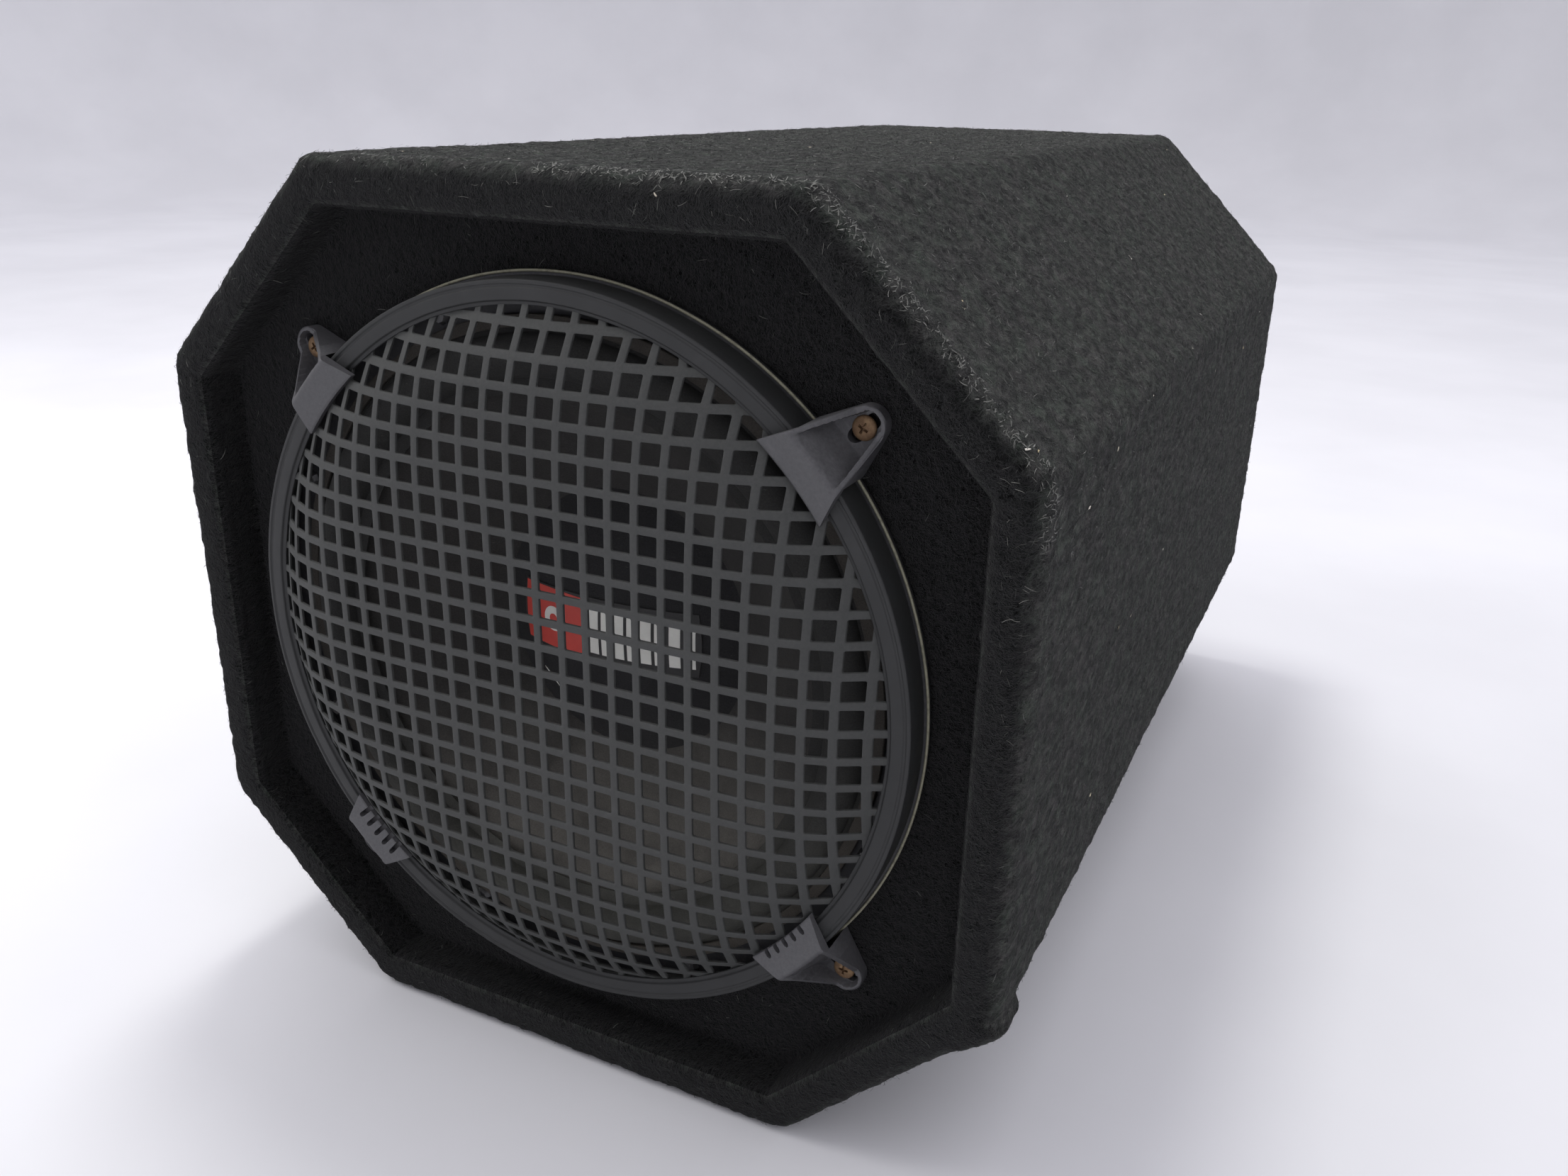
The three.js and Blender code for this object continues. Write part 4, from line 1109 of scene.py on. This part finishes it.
def add_clamps():
    smooth = clamp_solid(0)
    low_left = clamp_solid(152.2)
    low_right = clamp_solid(149.6)
    shapes = {"lower_left": low_left, "lower_right": low_right}
    screw = pan_head(4.7, 2.1, MATERIALS["clamp_screw"])
    for name, angle in CLAMPS.items():
        source = shapes.get(name, smooth)
        piece = turned_about_axis(source.data, angle, f"clamp_{name}_moulded")
        settle(piece, "enclosure", "clamp_plastic", f"clamp_{name}")
        set_screw(
            screw, f"clamp_screw_{name}_head", polar(CLAMP_SCREW_R, angle), RECESS - GAP - EAR_T,
            seeded.uniform(0, 90), "clamp_screw", f"clamp_screw_{name}", seeded.uniform(-3, 3),
        )
    for source in (smooth, low_left, low_right):
        bpy.data.objects.remove(source)


# ---------------------------------------------------------------- driver

def add_basket():
    """Pressed frame: flange, sloping legs between six windows, spider landing and motor seat."""
    under = FLANGE_Y + 3
    landing = SPIDER_Y + 0.7
    flange = lathe("flange", soften([
        (137.2, FLANGE_Y), (FLANGE_R, FLANGE_Y), (FLANGE_R, under), (139.5, under), (137.2, under + 2.5),
    ], 0.7, 4), MATERIALS["frame"], 240)
    path = np.array([
        (138, under), (134.5, under + 5), (121, 44), (108, 68), (95.5, landing + 3), (94, landing + 11),
        (80, landing + 13), (62, PLATE_Y - 1.9), (36, PLATE_Y - 1.9),
    ])
    fine = np.linspace(0, len(path) - 1, 60)
    path = np.stack([np.interp(fine, np.arange(len(path)), path[:, i]) for i in (0, 1)], 1)
    sides = 240
    turn = np.linspace(0, 2 * np.pi, sides, endpoint=False)
    points = [
        (MID_X + r * math.cos(a), y, MID_Z + r * math.sin(a)) for r, y in path for a in turn
    ]
    faces = []
    for i in range(len(path) - 1):
        r, y = (path[i] + path[i + 1]) / 2
        for k in range(sides):
            bearing = (math.degrees(turn[k]) + 0.75 + 30) % 60 - 30
            across = abs(math.radians(bearing) * r)
            window = 107 < r < 130 and across < 22 + (r - 62) * 0.3
            low_window = 66 < r < 85 and across < 14 + (r - 66) * 0.3 and y > landing + 6
            if not (window or low_window):
                m = (k + 1) % sides
                faces.append((i * sides + k, i * sides + m, (i + 1) * sides + m, (i + 1) * sides + k))
    legs = add_mesh("legs", points, faces, MATERIALS["frame"], 0)
    bpy.context.view_layer.update()
    thick = legs.modifiers.new("gauge", "SOLIDIFY")
    thick.thickness = 1.5 * MM
    thick.offset = 0
    apply_modifiers(legs)
    shelf = lathe("shelf", soften([
        (80, landing), (95, landing), (95, landing + 1.6), (80, landing + 1.6),
    ], 0.3), MATERIALS["frame"])
    # Pale bead round the flange's front edge, standing for the thin lit line there: painted highlight.
    bead = lathe("bead", [
        (FLANGE_R + 0.6 * math.cos(a), FLANGE_Y - GAP - 0.6 * math.sin(a))
        for a in np.linspace(0, 2 * math.pi, 12, endpoint=False)
    ], MATERIALS["painted_highlight_edge"], 240, 0.2)
    basket = join_pieces([flange, legs, shelf, bead], "basket_pressed")
    settle(basket, "enclosure", "frame_steel", "basket")


def stretching(piece):
    """Bakes the piece's transform into its mesh and reads its points, which are not used further."""
    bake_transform(piece)
    spots = np.empty(len(piece.data.vertices) * 3)
    piece.data.vertices.foreach_get("co", spots)
    spots = spots.reshape(-1, 3)


def add_suspension():
    front = FLANGE_Y - 1.5
    roll_r, middle = 9.0, 129.0
    outer = [(145, front + 1.2), (145, front)]
    arc = [math.pi * k / 16 for k in range(17)]
    outer += [(middle + roll_r * math.cos(a), front - roll_r * math.sin(a)) for a in arc]
    outer += [(114, front + 0.2), (114, front + 1.1)]
    outer += [(middle + 7.9 * math.cos(a), front + 1.2 - roll_r * math.sin(a)) for a in arc[::-1]]
    roll = lathe("surround_roll", outer, MATERIALS["foam"], 240, 0.3)
    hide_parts("surround")
    stretching(roll)

    foot = front - 0.35
    loop = soften([(140.2, front - 2.0), (145.2, front - 2.0), (145.4, foot), (140, foot)], 0.5)
    gasket = lathe("surround_gasket_ring", loop, MATERIALS["gasket"], 200, 0.2)
    settle(gasket, "enclosure", "gasket_fibre", "surround_gasket")

    radii = np.linspace(28.6, 90, 150)
    fade = smooth_step((radii - 30) / 5) * smooth_step((82 - radii) / 4)
    wave = SPIDER_Y + 1.9 * np.sin((radii - 30) / 7.4 * 2 * np.pi) * fade
    loop = [(r, y - 0.3) for r, y in zip(radii, wave)]
    loop += [(r, y + 0.3) for r, y in zip(radii[::-1], wave[::-1])]
    spider = lathe("spider_corrugated", loop, MATERIALS["cloth"], 180)
    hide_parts("spider")
    stretching(spider)


def cone_depth(radius):
    return CONE_Y + (CONE_R - radius) * CONE_SLOPE


def add_cone():
    radii = np.linspace(CONE_R, 28.2, 60)
    front = [(r, cone_depth(r) - 0.1) for r in radii]
    rear = [(r, cone_depth(r) + 1.0) for r in radii[::-1]]
    cone = lathe("cone_pulp_shell", front + rear, MATERIALS["cone"], 240, 0.12)
    settle(cone, "cone_body", "cone_paper", "cone")
    foot = cone_depth(CAP_R) - 1.2
    rows = [(CAP_R * k / 26, foot - CAP_RISE * (1 - (k / 26) ** 2)) for k in range(27)]
    rows.append((CAP_R + 1.6, foot + 0.3))
    loop = rows + [(r, y + 0.7) for r, y in rows[::-1]]
    cap = lathe("dust_cap_dome", loop, MATERIALS["cap"], 200, 0.25)
    settle(cap, "cone_body", "cap_paper", "dust_cap")


def cap_front(x, z):
    foot = cone_depth(CAP_R) - 1.2
    return foot - CAP_RISE * (1 - (x * x + z * z) / CAP_R ** 2)


def patch(name, x0, x1, z0, z1, lift, thick, material, round_to=0.0):
    """Thin printed plate that follows the dust cap; round_to trims it to a disc or rounds its corners."""
    nx, nz = max(3, int((x1 - x0) / 1.2)), max(3, int((z1 - z0) / 1.2))
    mx, mz = (x0 + x1) / 2, (z0 + z1) / 2
    a, b = (x1 - x0) / 2, (z1 - z0) / 2
    points, faces = [], []
    for layer in (lift + thick, lift):
        for i in range(nx + 1):
            for k in range(nz + 1):
                u, v = 2 * i / nx - 1, 2 * k / nz - 1
                x, z = u * a, v * b
                if round_to:
                    reach = max(abs(u), abs(v))
                    length = math.hypot(u, v)
                    pull = 1 + (reach / length - 1) * round_to if length else 1
                    x, z = x * pull, z * pull
                x, z = mx + x, mz + z
                points.append((MID_X + x, float(cap_front(x, z)) - layer, MID_Z + z))
    width, count = nz + 1, (nx + 1) * (nz + 1)
    for i in range(nx):
        for k in range(nz):
            p = i * width + k
            faces.append((p, p + 1, p + 1 + width, p + width))
            faces.append((p + count, p + width + count, p + 1 + width + count, p + 1 + count))
    loop = list(range(width)) + [i * width + nz for i in range(1, nx + 1)]
    loop += [nx * width + k for k in range(nz - 1, -1, -1)] + [i * width for i in range(nx - 1, 0, -1)]
    for here, after in zip(loop, loop[1:] + loop[:1]):
        faces.append((here, here + count, after + count, after))
    return face_outwards(add_mesh(name, points, faces, material, 30))


def add_badge():
    """Generic badge: a red tile with a pale disc and a row of pale level bars on a dark strip."""
    parts = [patch("ground", -51.5, 44.5, -15.5, 15.5, 0.3, 0.4, MATERIALS["print_dark"], 0.12)]
    parts.append(patch("tile", -50, -13, -14.5, 14.5, 0.7, 0.16, MATERIALS["print_red"], 0.08))
    parts.append(patch("disc", -37, -25, -6, 6, 0.86, 0.12, MATERIALS["print_pale"], 1.0))
    parts.append(patch("dot", -33.5, -28.5, -2.5, 2.5, 0.98, 0.1, MATERIALS["print_red"], 1.0))
    for i, top in enumerate((10.5, 12.5, 11.5, 13, 10.5, 12.5, 9.5, 7.5)):
        x = -7.0 + 6.6 * i
        parts.append(patch(f"bar{i}", x - 2.5, x + 2.5, -11, top, 0.7, 0.16, MATERIALS["print_pale"]))
    settle(join_pieces(parts, "badge_level_bars"), "cone_body", "badge_print", "badge")


def add_scratch():
    """A pale scuff across the dust cap, a little below the badge."""
    points, faces = [], []
    steps = 9
    for i in range(steps + 1):
        t = i / steps
        x, z = -42.5 + 8.5 * t + 0.5 * math.sin(3 * t), -29 - 9.5 * t
        half = 0.55 * math.sin(math.pi * (0.12 + 0.76 * t))
        for side, lift in ((-1, 0.15), (-1, 0.28), (1, 0.28), (1, 0.15)):
            px, pz = x + side * half * 0.7, z + side * half * 0.7
            points.append((MID_X + px, float(cap_front(px, pz)) - lift, MID_Z + pz))
    for i in range(steps):
        for k in range(4):
            m = (k + 1) % 4
            faces.append((i * 4 + k, i * 4 + m, i * 4 + 4 + m, i * 4 + 4 + k))
    faces += [(0, 1, 2, 3), (steps * 4 + 3, steps * 4 + 2, steps * 4 + 1, steps * 4)]
    scuff = face_outwards(add_mesh("dust_cap_scuff", points, faces, MATERIALS["print_pale"], 0))
    settle(scuff, "cone_body", "cap_paper")


def bevelled_ring(name, inner, outer, depth0, depth1, edge, material, sides=160):
    loop = soften([(inner, depth0), (outer, depth0), (outer, depth1), (inner, depth1)], edge, 3)
    return lathe(name, loop, MATERIALS[material], sides)


def add_motor():
    magnet_y = PLATE_Y + 8.3
    back_y = magnet_y + 30.3
    plate = bevelled_ring("top_plate_turned", 29.6, 60, PLATE_Y, PLATE_Y + 8, 0.8, "zinc")
    settle(plate, "enclosure", "plate_steel", "top_plate")
    magnet = bevelled_ring("magnet_sintered", 36, 72, magnet_y, magnet_y + 30, 1.6, "ferrite")
    settle(magnet, "enclosure", "ferrite", "magnet")
    tip, back = PLATE_Y - 1, back_y + 8
    pole = soften([(24.4, tip), (25, PLATE_Y + 1), (25, back_y), (62, back_y), (60, back)], 0.7)
    pole = [(0, tip)] + pole + [(0, back)]
    settle(lathe("yoke_turned", pole, MATERIALS["zinc"], 160), "enclosure", "plate_steel", "yoke")
    former = bevelled_ring("coil_former_tube", 26.5, 27.1, cone_depth(27) - 2, PLATE_Y + 16, 0.1, "kraft")
    settle(former, "cone_body", "former", "coil_former")
    turns = [(27.4, PLATE_Y - 6)]
    for k in range(40):
        y = PLATE_Y - 6 + k * 0.5
        turns += [(28.2, y + 0.05), (28.4, y + 0.25), (28.2, y + 0.45)]
    turns.append((27.4, PLATE_Y + 14))
    winding = lathe("voice_coil_winding", turns, MATERIALS["copper"], 120)
    settle(winding, "cone_body", "copper", "voice_coil")


# ---------------------------------------------------------------- terminals and wiring

def add_terminal_cup():
    """Recessed cup with a rounded flange, two wire holes, cheeks and a pin for the levers."""
    face, flange = DEPTH + GAP, 2.5
    floor = face + flange - CUP_DEPTH
    pivot = (DEPTH - 11.5, CUP_Z + 6)
    block_top = pivot[0] - 3.7
    cup = MATERIALS["cup"]

    def rounded(w, h, r):
        corners = []
        for sx, sz, start in ((1, 1, 0), (-1, 1, 90), (-1, -1, 180), (1, -1, 270)):
            for k in range(6):
                a = math.radians(start + 18 * k)
                corners.append((sx * (w - r) + r * math.cos(a), CUP_Z + sz * (h - r) + r * math.sin(a)))
        return corners

    body = prism_piece("cup", rounded(*CUP_HALF, 5), face, face + flange, cup)
    round_edges(body, 0.8, 3)
    hollow = prism_piece("hollow", rounded(*CUP_INNER, 3), floor, face + 20, cup)
    holes = []
    for x, z in cup_screw_spots():
        holes.append(prism_piece("hole", circle(2.0, 20, x, z), face - 20, face + 20, cup))
    cut_away(body, hollow, *holes)
    tub = prism_piece("tub", rounded(CUP_INNER[0] + 2, CUP_INNER[1] + 2, 4), floor - 2, face + 0.4, cup)
    cut_away(tub, prism_piece("hollow", rounded(*CUP_INNER, 3), floor, face + 20, cup))
    block = box_piece("block", (-27, floor - 1, CUP_Z - 17), (27, block_top, CUP_Z + 12), cup, 0.8)
    tools = []
    for x in (-TERMINAL_X, TERMINAL_X):
        for radius, y0 in ((1.9, floor - 5), (2.9, block_top - 0.9)):
            tools.append(prism_piece("wire_hole", circle(radius, 28, x, CUP_Z - 9), y0, block_top + 5, cup))
    cut_away(block, *tools)
    parts = [body, tub, block]
    for x0, x1 in ((-26.6, -23), (-2.2, 2.2), (23, 26.6)):
        cheek = box_piece(
            "cheek", (x0, block_top - 2, pivot[1] - 4), (x1, pivot[0] + 3, pivot[1] + 4), cup, 1.0, 4
        )
        parts.append(cheek)
    whole = join_pieces(parts, "terminal_cup_moulded")
    shade_smooth(whole, 35)
    settle(whole, "enclosure", "cup_plastic", "terminal_cup")

    for colour, sign in (("red", 1), ("black", -1)):
        settle(lever(colour, sign, pivot), f"{colour}_lever", f"lever_{colour}", f"lever_{colour}")
        x = sign * TERMINAL_X
        blade = box_piece(
            "contact", (x - 3.15, floor - 16, CUP_Z - 10.4), (x + 3.15, floor + 2.6, CUP_Z - 9.6),
            MATERIALS["nickel"], 0.25, 2,
        )
        blade.name = f"contact_{colour}_blade"
        settle(blade, "enclosure", "contact_metal", f"contact_{colour}")
    head = pan_head(3.6, 2.0, MATERIALS["zinc"], 1.25, 14.0)
    head.transform(Matrix.Rotation(math.pi, 4, "Z"))
    for i, spot in enumerate(cup_screw_spots()):
        set_screw(head, f"cup_screw_{i + 1}_head", spot, face + flange + 0.15, seeded.uniform(0, 90),
                  "screw_steel", f"cup_screw_{i + 1}")


def lever(colour, sign, pivot):
    """Spring lever: barrel on the pin, a tongue with a turned-up thumb edge and grip ribs."""
    x, (y, z) = sign * TERMINAL_X, pivot
    paint = MATERIALS[colour]
    section = []
    for k in range(15):
        a = math.radians(28 + k * 304 / 14)
        section.append((y + 3.35 * math.cos(a), z + 3.35 * math.sin(a)))
    section += [(y + 5, z - 1.35), (y + 11.6, z - 1.35), (y + 12.35, z - 0.6), (y + 12.35, z + 1.1),
                (y + 11.9, z + 1.55), (y + 5, z + 1.1)]
    points = [(x + side, a, b) for side in (-9.9, 9.9) for a, b in section]
    body = face_outwards(add_mesh("lever", points, prism_faces(len(section)), paint, 0))
    round_edges(body, 0.35, 2, 40)
    bore = [(x + side, a, b) for side in (-20, 20) for a, b in circle(1.8, 24, y, z)]
    cut_away(body, face_outwards(add_mesh("bore", bore, prism_faces(24), paint, 0)))
    ribs = []
    for k in range(3):
        low = (x - 8, y + 7.4 + k * 1.5, z + 1.0)
        ribs.append(box_piece("rib", low, (x + 8, y + 8.1 + k * 1.5, z + 1.5), paint, 0.2, 2))
    whole = join_pieces([body, *ribs], f"lever_{colour}_moulded")
    shade_smooth(whole, 35)
    return whole


def cup_screw_spots():
    return [(i * CUP_SCREW[0], CUP_Z + j * CUP_SCREW[1]) for i, j in ((-1, -1), (1, -1), (1, 1), (-1, 1))]


def add_panels():
    """The eight boards, mitred to each other, with their long ends rounded over under the felt."""
    inner, outer = 17.3, 3.2
    section = soften([(outer, 3.2), (outer, DEPTH - 3.2), (inner, DEPTH - 3.2), (inner, 3.2)], 11.0, 6)
    names = ["top", "upper_right", "right", "lower_right", "bottom", "lower_left", "left", "upper_left"]
    for i, name in enumerate(names):
        points = []
        for end in (0, 1):
            for inset, depth in section:
                a, b = WIDTH / 2 - inset, HEIGHT / 2 - inset
                c = CHAMFER - inset * (2 - math.sqrt(2))
                corners = [
                    (-a + c, b), (a - c, b), (a, b - c), (a, -b + c),
                    (a - c, -b), (-a + c, -b), (-a, -b + c), (-a, b - c),
                ]
                here, beyond = Vector(corners[(i + end) % 8]), Vector(corners[(i + 1 - end) % 8])
                spot = here + (beyond - here).normalized() * 0.2
                points.append((spot.x, depth, spot.y + HEIGHT / 2))
        faces = prism_faces(len(section))
        board = face_outwards(add_mesh(f"board_{name}", points, faces, MATERIALS["board"], 30))
        settle(board, "enclosure", "board", f"panel_{name}")


def add_hidden_parts():
    """CAD nodes whose shape is right keep it and take a finished material."""
    looks = {"front_baffle": "board", "rear_panel": "board", "lever_pin": "zinc", "wire_clip": "cup",
             "driver_terminals": "cup", "wire_red": "wire_red", "wire_black": "wire_black"}
    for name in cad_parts:
        if name.startswith("driver_screw_"):
            looks[name] = "zinc"
    for name, look in looks.items():
        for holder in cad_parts[name].material_slots:
            holder.material = MATERIALS[look]


def add_tinsel():
    """Braided leads from the terminal strip to the cone."""
    for colour, sign in (("red", 1), ("black", -1)):
        route = [
            (sign * 8, SPIDER_Y + 10, 99.7), (sign * 8, SPIDER_Y, 86), (sign * 8, 68, 90),
            (sign * 8, cone_depth(60) - 2, 105), (sign * 8, cone_depth(60) + 2.6, 139),
        ]
        knots = [Vector(p) for p in route]
        spots = []
        for i in range(len(knots) - 1):
            before = knots[max(i - 1, 0)]
            after = knots[min(i + 2, len(knots) - 1)]
            for k in range(10):
                t = k / 10
                a = (knots[i + 1] - before) * 0.2
                b = (after - knots[i]) * 0.2
                h1, h2 = 2 * t ** 3 - 3 * t ** 2 + 1, 3 * t ** 2 - 2 * t ** 3
                h3, h4 = t ** 3 - 2 * t ** 2 + t, t ** 3 - t ** 2
                spots.append(knots[i] * h1 + knots[i + 1] * h2 + a * h3 + b * h4)
        spots.append(knots[-1])
        points, sides = [], 10
        for i, spot in enumerate(spots):
            way = (spots[min(i + 1, len(spots) - 1)] - spots[max(i - 1, 0)]).normalized()
            flat = Vector((1, 0, 0))
            other = way.cross(flat).normalized()
            for k in range(sides):
                a = 2 * math.pi * k / sides + i * 0.4
                radius = 0.75 + 0.12 * math.cos(3 * a)
                points.append(tuple(spot + (flat * math.cos(a) + other * math.sin(a)) * radius))
        end = (len(spots) - 1) * sides
        faces = band_faces(len(spots), sides)
        faces += [tuple(range(sides)), tuple(range(end + sides - 1, end - 1, -1))]
        lead = face_outwards(add_mesh(f"tinsel_{colour}_braid", points, faces, MATERIALS["copper"], 0))
        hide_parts(f"tinsel_{colour}")
        stretching(lead)


# ---------------------------------------------------------------- floor

def add_floor():
    """Pale floor that turns up into a far, round backdrop."""
    sides = 96
    rows = [(0.0, 0.0), (0.5, 0.0), (1.2, 0.0), (2.4, 0.0), (4.0, 0.0)]
    rows += [(4.0 + math.sin(a), 1 - math.cos(a)) for a in np.linspace(0.1, math.pi / 2, 12)]
    rows.append((5.0, 1.5))
    points = [(x / MM, (y - RIM) / MM, (z - 0.0006) / MM) for r, z in rows for x, y in circle(r, sides)]
    floor = add_mesh("studio_floor", points, band_faces(len(rows), sides), floor_material(), 0)
    face_outwards(floor)


add_camera()
add_lights()
add_floor()
add_felt()
add_panels()
grille_mesh()
grille_ring()
add_clamps()
add_basket()
add_suspension()
add_cone()
add_badge()
add_scratch()
add_motor()
add_terminal_cup()
add_tinsel()
add_hidden_parts()
